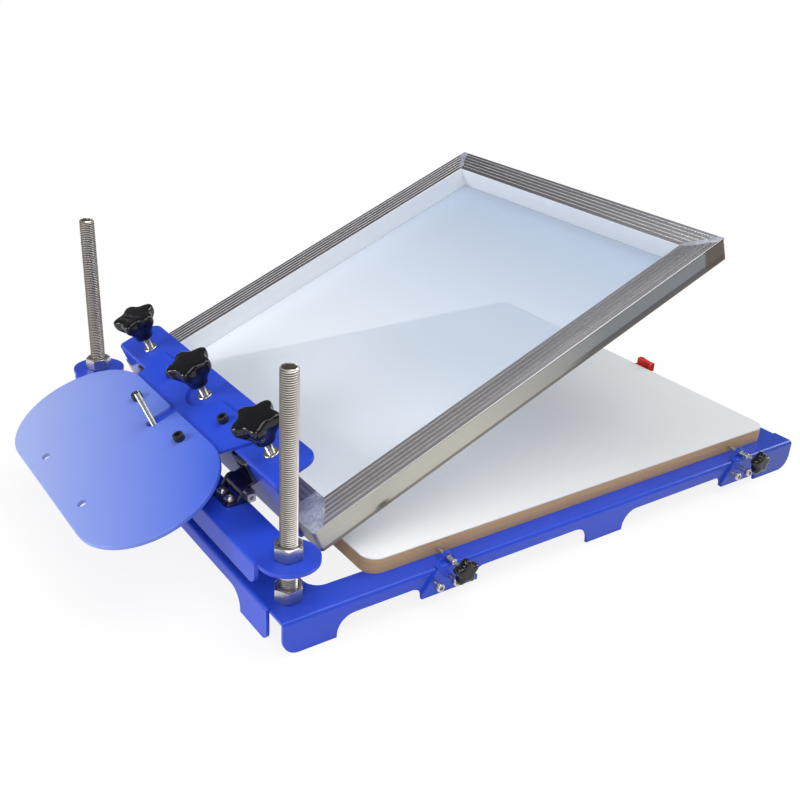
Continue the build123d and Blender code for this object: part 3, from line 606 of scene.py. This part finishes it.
def groundAluminium():
    metal = Finish("groundAluminium", "frame_aluminium")
    where = metal.spot(lowered=True)
    swirl, swirlAcross = [metal.noise(metal.stretched(where, scale, turn), 1, 3)
                          for scale, turn in groundLook["scratches"]]
    patch = metal.noise(where, groundLook["patchScale"], 3)
    base = metal.mixed(patch * 1.6 - 0.3, groundLook["dark"], groundLook["pale"])
    scratch = swirl.most(swirlAcross)
    base = metal.mixed(((scratch - groundLook["scratchFrom"]) * 5.0).held(), base, groundLook["scratch"])
    metal.set(colour=base, metal=groundLook["metal"], rough=groundLook["rough"] + patch * 0.2,
              normal=metal.bump(scratch, 0.0003, 0.5))
    return metal


# open weave, so a little of what is behind it shows; a painted reflection makes it paler towards the clamp
# and bluer towards the front
clothLook = {
    "rear": (0.89, 0.935, 0.965),
    "front": (0.14, 0.245, 0.44),
    "toneShift": 0.22,
    "cloud": (0.48, 0.58, 0.70),
    "cloudScale": 7,
    "thread": (0.72, 0.80, 0.90),
    "threads": 620.0,
    "cover": 0.72,              # share of the cloth that is thread
    "rough": 0.5,
    "sheen": 0.1,
    "gloss": 0.3,
}


def screenCloth():
    cloth = Finish("screenCloth", "mesh_cloth")
    where = cloth.spot(lowered=True)
    warp, weft = [cloth.node("ShaderNodeTexWave", {"bands_direction": direction},
                             {"Vector": where, "Scale": clothLook["threads"], "Distortion": 0.0})
                  for direction in ("X", "Y")]
    weave = warp.most(weft)
    along = ((cloth.parts(where)[0] + clothLook["toneShift"]) * 2.0).held()
    cloud = cloth.noise(where, clothLook["cloudScale"], 2)
    # painted reflection: pale near the clamp, blue towards the front
    base = cloth.mixed(along, clothLook["rear"], clothLook["front"])
    base = cloth.mixed(cloud * 0.15, base, clothLook["cloud"])
    base = cloth.mixed(weave * 0.10, base, clothLook["thread"])
    cloth.set(colour=base, rough=clothLook["rough"], alpha=clothLook["cover"] + weave * 0.04 + along * 0.03,
              sheen=clothLook["sheen"], gloss=clothLook["gloss"], normal=cloth.bump(weave, 0.0001, 0.15))
    return cloth


finishes = {
    "edge": boardEdge(),
    "laminate": laminateTop(),
    "bright": turnedSteel(),
    "chrome": darkChrome(),
    "oxide": blackOxide(),
    "barAlongX": extrudedAluminium("barGrainLengthwise", True),
    "barAlongY": extrudedAluminium("barGrainCrosswise", False),
    "ground": groundAluminium(),
    "cloth": screenCloth(),
}
for looks, maker in ((paintLooks, powderCoat), (threadLooks, threadSteel), (plasticLooks, mouldedPlastic)):
    for finishName, look in looks.items():
        finishes[finishName] = maker(look)

# pieces that keep their CAD mesh
dressed = {
    "blue": ["base_frame", "crossbar", "clamp_channel", "link_plate", "rear_register_bracket",
             "front_register_bracket"],
    "paleBlue": ["weight_plate"],
    "edge": ["board_core"],
    "laminate": ["board_laminate"],
    "bright": ["hinge_end_blocks", "rear_register_tip", "front_register_tip", "cam_screw"],
    "chrome": ["near_hinge_bracket", "far_hinge_bracket", "near_hinge_leaf", "far_hinge_leaf",
               "near_hinge_pin", "far_hinge_pin"],
    "pad": ["near_pressure_pad", "middle_pressure_pad", "far_pressure_pad", "stop_foot", "edge_stops"],
    "red": ["cam_lever"],
    "barAlongX": ["near_frame_bar", "far_frame_bar"],
    "barAlongY": ["rear_frame_bar", "front_frame_bar"],
}
for finishName, nodeNames in dressed.items():
    for nodeName in nodeNames:
        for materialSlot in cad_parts[nodeName].material_slots:
            materialSlot.material = finishes[finishName].material

print("finishes on", sum(len(names) for names in dressed.values()), "pieces")


def chain(points):
    # a line of joined vertices through (distance from the axis, height) points, left in edit mode
    bpy.ops.object.select_all(action="DESELECT")
    bpy.ops.mesh.primitive_plane_add(size=0.001, enter_editmode=True, location=(0, 0, 0))
    bpy.ops.mesh.merge(type="CENTER")
    reached = Vector((0, 0, 0))
    for number, (out, height) in enumerate(points):
        step = Vector((out, 0, height)) - reached
        if number == 0:
            bpy.ops.transform.translate(value=step)
        else:
            bpy.ops.mesh.extrude_vertices_move(TRANSFORM_OT_translate={"value": step})
        reached += step


def turned(points, steps=48):
    chain(points)
    bpy.ops.mesh.select_all(action="SELECT")
    bpy.ops.mesh.spin(steps=steps, angle=math.tau, center=(0, 0, 0), axis=(0, 0, 1))
    bpy.ops.mesh.select_all(action="SELECT")
    bpy.ops.mesh.remove_doubles(threshold=0.000002)
    bpy.ops.mesh.normals_make_consistent(inside=False)
    bpy.ops.object.mode_set(mode="OBJECT")
    return bpy.context.object


def carve(target, tool, operation):
    cut = target.modifiers.new("cut", "BOOLEAN")
    cut.operation = operation
    cut.solver = "EXACT"
    cut.object = tool
    bpy.ops.object.select_all(action="DESELECT")
    bpy.context.view_layer.objects.active = target
    target.select_set(True)
    bpy.ops.object.modifier_apply(modifier="cut")
    bpy.data.objects.remove(tool, do_unlink=True)
    return target


# where a thread's flank ends, its crest ends and its other flank ends, as shares of the pitch
threadForm = (0.42, 0.56, 0.96)


def threaded(rod):
    # a trapezoid swept up the rod once per pitch, trimmed flat, and cut to a blank with chamfered ends
    radius, pitch, low, high, ends = (rod[key] for key in ("radius", "pitch", "low", "high", "ends"))
    core = radius - rod["depth"]
    start = low - pitch * 1.5
    flank, crest, foot = (start + pitch * share for share in threadForm)
    chain([(core, start), (radius, flank), (radius, crest), (core, foot), (core, start + pitch)])
    bpy.ops.object.mode_set(mode="OBJECT")
    thread = bpy.context.object
    sweep = thread.modifiers.new("sweep", "SCREW")
    sweep.screw_offset = pitch
    sweep.iterations = int((high - low) / pitch) + 3
    sweep.steps = rod["steps"]
    sweep.render_steps = rod["steps"]
    bpy.ops.object.modifier_apply(modifier="sweep")
    bpy.ops.object.mode_set(mode="EDIT")
    bpy.ops.mesh.select_all(action="SELECT")
    bpy.ops.mesh.remove_doubles(threshold=0.000002)
    for height, side in ((low, -1), (high, 1)):
        bpy.ops.mesh.select_all(action="SELECT")
        bpy.ops.mesh.bisect(plane_co=(0, 0, height), plane_no=(0, 0, side), use_fill=True, clear_outer=True)
    bpy.ops.mesh.select_all(action="SELECT")
    bpy.ops.mesh.normals_make_consistent(inside=False)
    bpy.ops.object.mode_set(mode="OBJECT")
    wide = radius + 0.0003
    narrow = core - 0.0002
    blank = turned([(0, low - 0.0001), (narrow, low - 0.0001), (wide, low + ends), (wide, high - ends),
                    (narrow, high + 0.0001), (0, high + 0.0001)], 40)
    return carve(thread, blank, "INTERSECT")


def hexBar(flats, low, high):
    bpy.ops.object.select_all(action="DESELECT")
    corner = flats / 2 / math.cos(math.radians(30))
    bpy.ops.mesh.primitive_cylinder_add(vertices=6, radius=corner, depth=high - low,
                                        location=(0, 0, (low + high) / 2))
    bar = bpy.context.object
    bpy.ops.object.transform_apply(location=True, rotation=False, scale=False)
    return bar


def hexNut(nut):
    # both faces are chamfered by a turned lens, and the bore is countersunk
    flats, height, bore = nut["flats"], nut["height"], nut["bore"]
    body = hexBar(flats, 0, height)
    corner = flats / 2 / math.cos(math.radians(30))
    slope = (corner - flats / 2 * 0.96) * 0.6
    wide = corner + 0.0002
    face = flats / 2 * 0.94
    lens = turned([(0, 0), (face, 0), (wide, slope), (wide, height - slope), (face, height),
                   (0, height)], 72)
    carve(body, lens, "INTERSECT")
    sink = bore * 0.14
    beyond = 0.001
    drill = turned([(0, -beyond), (bore + sink + beyond, -beyond), (bore, sink), (bore, height - sink),
                    (bore + sink + beyond, height + beyond), (0, height + beyond)], 48)
    return carve(body, drill, "DIFFERENCE")


def capScrew(screw, length):
    # knurled round head with a hexagon socket, seated on z = 0
    size, shankRadius = screw["head"], screw["shank"]
    outline = [(0, 0), (0.77, 0), (0.80, 0.05), (0.80, 0.55), (0.80, 0.86), (0.77, 0.95), (0.70, 1.0),
               (0, 1.0)]
    head = turned([(size * out, size * up) for out, up in outline], 96)
    for vertex in head.data.vertices:
        x, y, z = vertex.co
        if math.hypot(x, y) > size * 0.78 and size * 0.04 < z < size * 0.9:
            tooth = 0.988 if round(math.atan2(y, x) / math.tau * 96) % 3 == 0 else 1.008
            vertex.co = (x * tooth, y * tooth, z)
    carve(head, hexBar(size * 0.8, size * 0.45, size * 1.5), "DIFFERENCE")
    shank = turned([(0, -length), (shankRadius * 0.85, -length), (shankRadius, -length + shankRadius * 0.2),
                    (shankRadius, -0.00001), (0, -0.00001)], 32)
    return together([head, shank])


def panScrew(screw):
    # domed head with a cross recess, on a thin washer
    size, length = screw["head"], screw["length"]
    dome = [(0, size * 0.66)]
    for stepNumber in range(1, 8):
        lean = math.radians(stepNumber * 12.5)
        dome.append((math.sin(lean) * size * 0.98, size * 0.16 + math.cos(lean) * size * 0.5))
    head = turned([(0, size * 0.10), (size * 0.96, size * 0.10)] + dome[::-1], 48)
    for turn in (25, 115):
        bpy.ops.object.select_all(action="DESELECT")
        bpy.ops.mesh.primitive_cube_add(size=1, location=(0, 0, size * 0.62))
        blade = bpy.context.object
        blade.dimensions = (size * 1.05, size * 0.2, size * 0.5)
        blade.rotation_euler = (0, 0, math.radians(turn))
        bpy.ops.object.transform_apply(location=True, rotation=True, scale=True)
        carve(head, blade, "DIFFERENCE")
    rim = [(0.55, 0), (1.18, 0), (1.22, 0.03), (1.22, 0.08), (1.18, 0.11), (0.55, 0.11), (0.55, 0)]
    washer = turned([(size * out, size * up) for out, up in rim], 48)
    shank = turned([(0, -length), (size * 0.48, -length), (size * 0.48, 0.00001), (0, 0.00001)], 24)
    return together([head, washer, shank])


def starKnob(knob):
    # a turned body whose rings are drawn in between the lobes, more so at the widest part
    radius = knob["width"] / 2
    turn = math.radians(knob["turn"])
    rings = [(out * radius, height, wave) for out, height, wave in knob["rings"]]
    body = turned([(out, height) for out, height, wave in rings], 120)
    heights = [height for out, height, wave in rings]
    for vertex in body.data.vertices:
        x, y, z = vertex.co
        nearest = min(range(len(heights)), key=lambda k: abs(heights[k] - z))
        lobe = (1 + math.cos(knob["lobes"] * (math.atan2(y, x) - turn))) / 2
        draw = 1 - rings[nearest][2] * (1 - lobe ** 1.25)
        vertex.co = (x * draw, y * draw, z)
    return body


def together(parts):
    bpy.ops.object.select_all(action="DESELECT")
    for part in parts:
        part.select_set(True)
    bpy.context.view_layer.objects.active = parts[0]
    bpy.ops.object.join()
    return parts[0]


def copied(source, matrix):
    twin = source.copy()
    twin.data = source.data.copy()
    bpy.context.scene.collection.objects.link(twin)
    twin.data.transform(matrix)
    return twin


def finished(piece, name, finish, body, nodes, smooth=35):
    piece.name = name
    piece.data.name = name
    piece.data.materials.clear()
    piece.data.materials.append(finishes[finish].material)
    bpy.ops.object.select_all(action="DESELECT")
    bpy.context.view_layer.objects.active = piece
    piece.select_set(True)
    bpy.ops.object.transform_apply(location=True, rotation=True, scale=True)
    bpy.ops.object.shade_smooth_by_angle(angle=math.radians(smooth))
    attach(piece, body)
    if nodes:
        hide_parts(*nodes)


def upright(x, y, z, turn=0.0):
    return Matrix.Translation(place(x, y, z)) @ Matrix.Rotation(math.radians(turn), 4, "Z")


def sideways(x, y, z, turn=0.0):
    # the piece's own +Z points out of the near side
    lay = Matrix.Rotation(math.radians(90), 4, "X")
    return Matrix.Translation(place(x, y, z)) @ lay @ Matrix.Rotation(math.radians(turn), 4, "Z")


def onHead(x, y, z, turn=0.0):
    return liftHead @ upright(x, y, z, turn)


def discard(*sources):
    for source in sources:
        bpy.data.objects.remove(source, do_unlink=True)


# studs, with a nut above and below the base and the crossbar
studRod = {"radius": 0.0080, "depth": 0.00115, "pitch": 0.002, "low": 0.014, "high": 0.250,
           "ends": 0.0016, "steps": 28}
studNuts = {"flats": 0.024, "height": 0.013, "bore": 0.00805}
nutSeats = {
    "base": {"top": layout["baseTop"], "sheet": 0.003},
    "crossbar": {"top": layout["barTop"], "sheet": 0.004},
}
stud = threaded(studRod)
studNut = hexNut(studNuts)
for side, sign, nutTurn in (("near", -1, 31), ("far", 1, 20)):
    y = sign * layout["studSpan"]
    finished(copied(stud, upright(0, y, 0, 40 * sign)), f"{side}StudThread", "stud", "base", [f"{side}_stud"])
    for nutSet, seat in nutSeats.items():
        body = "base" if nutSet == "base" else f"{side}_nuts"
        below = seat["top"] - seat["sheet"] - studNuts["height"]
        pair = [copied(studNut, upright(0, y, height, nutTurn)) for height in (seat["top"], below)]
        finished(together(pair), f"{side}{nutSet.capitalize()}Nuts", "bright", body,
                 [f"{side}_{nutSet}_nuts"], 20)
discard(stud, studNut)
print("studs and nuts made")

# clamp screws with their inserts and knobs; the insert's heights are from the clamp's top
clampRod = {"radius": 0.00396, "depth": 0.00068, "pitch": 0.00125, "low": 0.0818, "high": 0.1482,
            "ends": 0.0006, "steps": 24}
clampRow = {"x": 0.0451, "spread": 0.138, "knobLow": 0.1302, "turn": 25, "knobTurn": -60}
clampSpigotOutline = [(0, 0.0787), (0.0026, 0.0787), (0.003, 0.0791), (0.003, 0.0819), (0, 0.0819)]
insertOutline = [(0.00408, -0.0090), (0.00545, -0.0090), (0.00545, 0), (0.0071, 0), (0.0075, 0.0004),
                 (0.0075, 0.0008), (0.0070, 0.00125), (0.0050, 0.00125), (0.00408, 0.0006),
                 (0.00408, -0.0090)]
# each ring of a knob: its share of the radius, its height, and how far it is drawn in between the lobes
bigKnob = {
    "width": 0.0475,
    "lobes": 5,
    "turn": 18,
    "rings": [(0.0, 0.0, 0.0), (0.36, 0.0, 0.0), (0.40, 0.0006, 0.0), (0.44, 0.0025, 0.05),
              (0.50, 0.0060, 0.13), (0.60, 0.0095, 0.19), (0.71, 0.0125, 0.23), (0.82, 0.0155, 0.25),
              (0.92, 0.0180, 0.27),
              (0.975, 0.0202, 0.28), (1.0, 0.0230, 0.28), (0.998, 0.0260, 0.28), (0.98, 0.0275, 0.28),
              (0.945, 0.0286, 0.27), (0.87, 0.0293, 0.25), (0.76, 0.0297, 0.21), (0.60, 0.0300, 0.15),
              (0.42, 0.0302, 0.08), (0.20, 0.0304, 0.0), (0.0, 0.0304, 0.0)],
}
clampThread = threaded(clampRod)
clampSpigot = turned(clampSpigotOutline, 32)
knobBody = starKnob(bigKnob)
insertRing = turned([(out, layout["clampTop"] + up) for out, up in insertOutline], 64)
rings = []
for side, y in (("near", -clampRow["spread"]), ("middle", 0), ("far", clampRow["spread"])):
    there = onHead(clampRow["x"], y, 0, clampRow["turn"])
    screwParts = [copied(clampThread, there), copied(clampSpigot, there)]
    finished(together(screwParts), f"{side}ClampThread", "screwThread", f"{side}_knob",
             [f"{side}_clamp_screw"])
    onTop = onHead(clampRow["x"], y, clampRow["knobLow"], y * clampRow["knobTurn"])
    finished(copied(knobBody, onTop), f"{side}KnobMoulding", "knob", f"{side}_knob",
             [f"{side}_clamp_knob"], 60)
    rings.append(copied(insertRing, there))
finished(together(rings), "clampInsertRings", "bright", "clamp", ["clamp_inserts"])
discard(clampThread, clampSpigot, knobBody, insertRing)
print("clamp screws and knobs made")

# stop bolt with its lock nut under the clamp's top plate
stopRod = {"radius": 0.0030, "depth": 0.00052, "pitch": 0.001, "low": 0.09725, "high": 0.1602, "ends": 0.0006,
           "steps": 24}
stopX = -0.0129
stopSpigotOutline = [(0, 0.0912), (0.0025, 0.0912), (0.0025, 0.0973), (0, 0.0973)]
lockNut = {"flats": 0.010, "height": 0.005, "bore": 0.00304}
stopBolt = threaded(stopRod)
stopSpigot = turned(stopSpigotOutline, 32)
stopParts = [copied(part, onHead(stopX, 0, 0)) for part in (stopBolt, stopSpigot)]
finished(together(stopParts), "stopThread", "stopSteel", "stop_screw", ["stop_bolt"])
stopNut = hexNut(lockNut)
underClamp = onHead(stopX, 0, layout["clampTop"] - lockNut["height"])
finished(copied(stopNut, underClamp), "stopLockNut", "bright", "clamp", ["stop_lock_nut"], 20)
discard(stopBolt, stopSpigot, stopNut)
print("stop bolt made")

# black cap screws through the plates, each with its nut under the plate below
plateSheet = 0.003
plateNuts = {"flats": 0.013, "height": 0.0065, "bore": 0.00404}
plateCap = {"head": 0.0066, "shank": 0.0038}
plateScrews = {
    "link": {"x": 0.0369, "spread": 0.060, "top": layout["linkTop"], "below": layout["clampTop"],
             "length": 0.015},
    "weight": {"x": -0.0064, "spread": 0.051, "top": layout["weightTop"], "below": layout["linkTop"],
               "length": 0.016},
}
plateNut = hexNut(plateNuts)
for plate, row in plateScrews.items():
    screw = capScrew(plateCap, row["length"])
    nutLow = row["below"] - plateSheet - plateNuts["height"]
    pair = [copied(screw, onHead(row["x"], side * row["spread"], row["top"], 17 * side)) for side in (-1, 1)]
    finished(together(pair), f"{plate}CapScrews", "oxide", "clamp", [f"{plate}_bolts"])
    pair = [copied(plateNut, onHead(row["x"], side * row["spread"], nutLow, 8)) for side in (-1, 1)]
    finished(together(pair), f"{plate}HexNuts", "bright", "clamp", [f"{plate}_nuts"], 20)
    discard(screw)
discard(plateNut)
print("plate screws made")

# hinge screws, edge stop screws and bracket screws, turned to varied angles
hingeScrews = {"head": 0.0047, "length": 0.012, "x": -0.0033, "spread": 0.112, "apart": 0.008, "z": 0.079}
stopScrews = {"head": 0.0039, "length": 0.014, "at": (0.180, 0.520), "y": 0.24533, "z": 0.043}
bracketScrews = {"head": 0.0050, "shank": 0.0025, "length": 0.0165, "at": (0.140, 0.550), "apart": 0.00925,
                 "y": -0.2655, "z": 0.0235}
hingeScrew = panScrew(hingeScrews)
four = [copied(hingeScrew, upright(hingeScrews["x"], side * hingeScrews["spread"] + shift, hingeScrews["z"],
                                   30 * side + shift * 4000))
        for side in (-1, 1) for shift in (-hingeScrews["apart"], hingeScrews["apart"])]
finished(together(four), "hingePanScrews", "bright", "head", ["hinge_screws"])
stopScrew = panScrew(stopScrews)
two = [copied(stopScrew, upright(x, stopScrews["y"], stopScrews["z"], x * 300)) for x in stopScrews["at"]]
finished(together(two), "edgeStopPanScrews", "bright", "base", ["edge_stop_bolts"])
bracketScrew = capScrew(bracketScrews, bracketScrews["length"])
four = [copied(bracketScrew, sideways(x + shift, bracketScrews["y"], bracketScrews["z"], x * 200))
        for x in bracketScrews["at"] for shift in (-bracketScrews["apart"], bracketScrews["apart"])]
finished(together(four), "bracketCapScrews", "bright", "base", ["bracket_bolts"])
discard(hingeScrew, stopScrew, bracketScrew)
print("hinge, edge stop and bracket screws made")

# registration screws with their barrels and knobs; heights are along the screw, from the bracket
registerRod = {"radius": 0.00149, "depth": 0.0003, "pitch": 0.0005, "low": -0.0194, "high": 0.0210,
               "ends": 0.0003, "steps": 16}
registerSpots = {"rear": 0.150, "front": 0.560}
registerOut = {"barrel": -0.259, "knob": -0.271}
registerSpigotOutline = [(0, -0.0220), (0.0007, -0.0220), (0.0007, -0.0190), (0, -0.0190)]
barrelOutline = [(0.00155, -0.007), (0.0028, -0.007), (0.0028, -0.0048), (0.00262, -0.0046),
                 (0.00262, -0.0042), (0.0028, -0.0040), (0.0028, 0.0035), (0.0024, 0.0040),
                 (0.0018, 0.0040), (0.00155, 0.0038), (0.00155, -0.007)]
smallKnob = {
    "width": 0.0265,
    "lobes": 5,
    "turn": 18,
    "rings": [(0.0, 0.0, 0.0), (0.40, 0.0, 0.0), (0.44, 0.0005, 0.02), (0.55, 0.0018, 0.12),
              (0.74, 0.0028, 0.24), (0.90, 0.0040, 0.30), (0.98, 0.0056, 0.33), (1.0, 0.0074, 0.34),
              (0.995, 0.0092, 0.34),
              (0.96, 0.0108, 0.33), (0.89, 0.0119, 0.30), (0.76, 0.0126, 0.24), (0.58, 0.0130, 0.16),
              (0.36, 0.0130, 0.06), (0.16, 0.0129, 0.0), (0.0, 0.0128, 0.0)],
}
registerThread = threaded(registerRod)
registerSpigot = turned(registerSpigotOutline, 24)
knobBody = starKnob(smallKnob)
barrel = turned(barrelOutline, 48)
for end, x in registerSpots.items():
    there = sideways(x, registerOut["barrel"], layout["registerZ"])
    screwParts = [copied(registerThread, there), copied(registerSpigot, there)]
    finished(together(screwParts), f"{end}RegisterThread", "screwThread", f"{end}_register",
             [f"{end}_register_screw"])
    outside = sideways(x, registerOut["knob"], layout["registerZ"])
    finished(copied(knobBody, outside), f"{end}RegisterKnobMoulding", "knob", f"{end}_register",
             [f"{end}_register_knob"], 60)
    finished(copied(barrel, there), f"{end}BarrelTurned", "bright", "base", [f"{end}_register_barrel"])
discard(registerThread, registerSpigot, knobBody, barrel)
print("registration screws made")

# welds ground flush at the frame's corners: points in mm along the long bar, then in from the outer face
weldDepth = {"low": 0.0011, "thick": 0.00118}
cornerWelds = {
    "nearRear": {"end": "rear", "side": -1,
                 "points": [(0.5, 0.5), (11, 0.5), (15, 6), (21, 13), (26, 21), (31.6, 30.5), (31.6, 44),
                            (0.5, 44)]},
    "farRear": {"end": "rear", "side": 1,
                "points": [(0.5, 0.5), (10, 0.5), (15, 7), (20, 14), (27, 22), (31.6, 31), (31.6, 40),
                           (0.5, 40)]},
    "nearFront": {"end": "front", "side": -1,
                  "points": [(0.5, 0.5), (9, 0.8), (14, 8), (22, 16), (29, 24), (32, 31.8), (25, 28),
                             (17, 21), (9, 13), (0.8, 8)]},
    "farFront": {"end": "front", "side": 1,
                 "points": [(0.5, 0.5), (8, 0.8), (14, 9), (21, 17), (28, 24), (32, 31.8), (24, 28),
                            (17, 20), (9, 14), (0.8, 9)]},
}
for corner, patch in cornerWelds.items():
    chain([(0, 0)])
    reached = Vector((0, 0, 0))
    for number, (run, inward) in enumerate(patch["points"]):
        x = run if patch["end"] == "rear" else layout["frameLong"] * 1000 - run
        y = patch["side"] * (layout["frameHalf"] * 1000 - inward)
        target = place(layout["frameRear"] + x / 1000, y / 1000, layout["frameTop"] - weldDepth["low"])
        if number == 0:
            bpy.ops.transform.translate(value=target - reached)
        else:
            bpy.ops.mesh.extrude_vertices_move(TRANSFORM_OT_translate={"value": target - reached})
        reached = target
    bpy.ops.mesh.select_all(action="SELECT")
    bpy.ops.mesh.edge_face_add()
    bpy.ops.mesh.extrude_region_move(TRANSFORM_OT_translate={"value": (0, 0, weldDepth["thick"])})
    bpy.ops.mesh.select_all(action="SELECT")
    bpy.ops.mesh.normals_make_consistent(inside=False)
    bpy.ops.object.mode_set(mode="OBJECT")
    weld = bpy.context.object
    weld.data.transform(liftHead)
    finished(weld, f"{corner}GroundWeld", "ground", "screen", [])
print("ground corners made")

# cloth stretched under the frame
clothSize = {"long": 0.508, "wide": 0.418, "cells": 40, "below": 0.0002}
bpy.ops.object.select_all(action="DESELECT")
middle = place(layout["frameRear"] + layout["frameLong"] / 2, 0, layout["frameLow"] - clothSize["below"])
bpy.ops.mesh.primitive_grid_add(x_subdivisions=clothSize["cells"], y_subdivisions=clothSize["cells"], size=1,
                                location=middle)
cloth = bpy.context.object
cloth.dimensions = (clothSize["long"], clothSize["wide"], 0)
bpy.ops.object.transform_apply(location=True, rotation=True, scale=True)
cloth.data.transform(liftHead)
finished(cloth, "screenClothSheet", "cloth", "screen", ["screen_mesh"])
print("cloth stretched")


def rays(nodeTree):
    # rays straight from the camera, and those that see the surroundings in metal or through something
    path = nodeTree.nodes.new("ShaderNodeLightPath")
    straight, glossy, through = [Number(nodeTree, path.outputs[kind])
                                 for kind in ("Is Camera Ray", "Is Glossy Ray", "Is Transmission Ray")]
    return straight, glossy + through


def shared(nodeTree, share, first, second, target):
    mixer = nodeTree.nodes.new("ShaderNodeMixShader")
    for socketNumber, output in enumerate((share.output, first, second)):
        nodeTree.links.new(output, mixer.inputs[socketNumber])
    nodeTree.links.new(mixer.outputs[0], target)


# floor: white far off, with the press's own soft shadow near it
floorLook = {"size": 40, "below": 0.0004, "whiteFrom": 0.45,
             "speckle": ((0.90, 0.90, 0.90), (0.93, 0.93, 0.93))}
bpy.ops.object.select_all(action="DESELECT")
bpy.ops.mesh.primitive_plane_add(size=floorLook["size"], location=(0, 0, cadLow[2] - floorLook["below"]))
floor = bpy.context.object
floor.name = "floor"
white = Finish("floorWhite")
where = white.spot()
x, y = white.parts(where)[:2]
far = (((x * x + y * y) ** 0.5 - floorLook["whiteFrom"]) * 1.6).held()
white.set(colour=white.mixed(white.noise(where, 300, 2), *floorLook["speckle"]), rough=0.9, gloss=0.1)
straight, mirrored = rays(white.nodeTree)
shine = white.nodeTree.nodes.new("ShaderNodeEmission")
shared(white.nodeTree, (straight * (far * 0.14 + 0.86) + mirrored * (far * 0.6 + 0.4)).held(),
       white.shader.outputs[0], shine.outputs[0], white.nodeTree.nodes["Material Output"].inputs[0])
floor.data.materials.append(white.material)

# surroundings: white to the camera, dim to the press, with a little of the white in its metal
worldLook = {"dim": 0.11, "white": 1.0, "inMetal": 0.05}
world = bpy.data.worlds.new("studio")
bpy.context.scene.world = world
world.use_nodes = True
sky = world.node_tree
dim = sky.nodes["Background"]
paper = sky.nodes.new("ShaderNodeBackground")
for background, strength in ((dim, worldLook["dim"]), (paper, worldLook["white"])):
    background.inputs["Color"].default_value = (1, 1, 1, 1)
    background.inputs["Strength"].default_value = strength
straight, mirrored = rays(sky)
shared(sky, (straight + mirrored * worldLook["inMetal"]).held(), dim.outputs[0], paper.outputs[0],
       sky.nodes["World Output"].inputs[0])
print("floor and surroundings set")
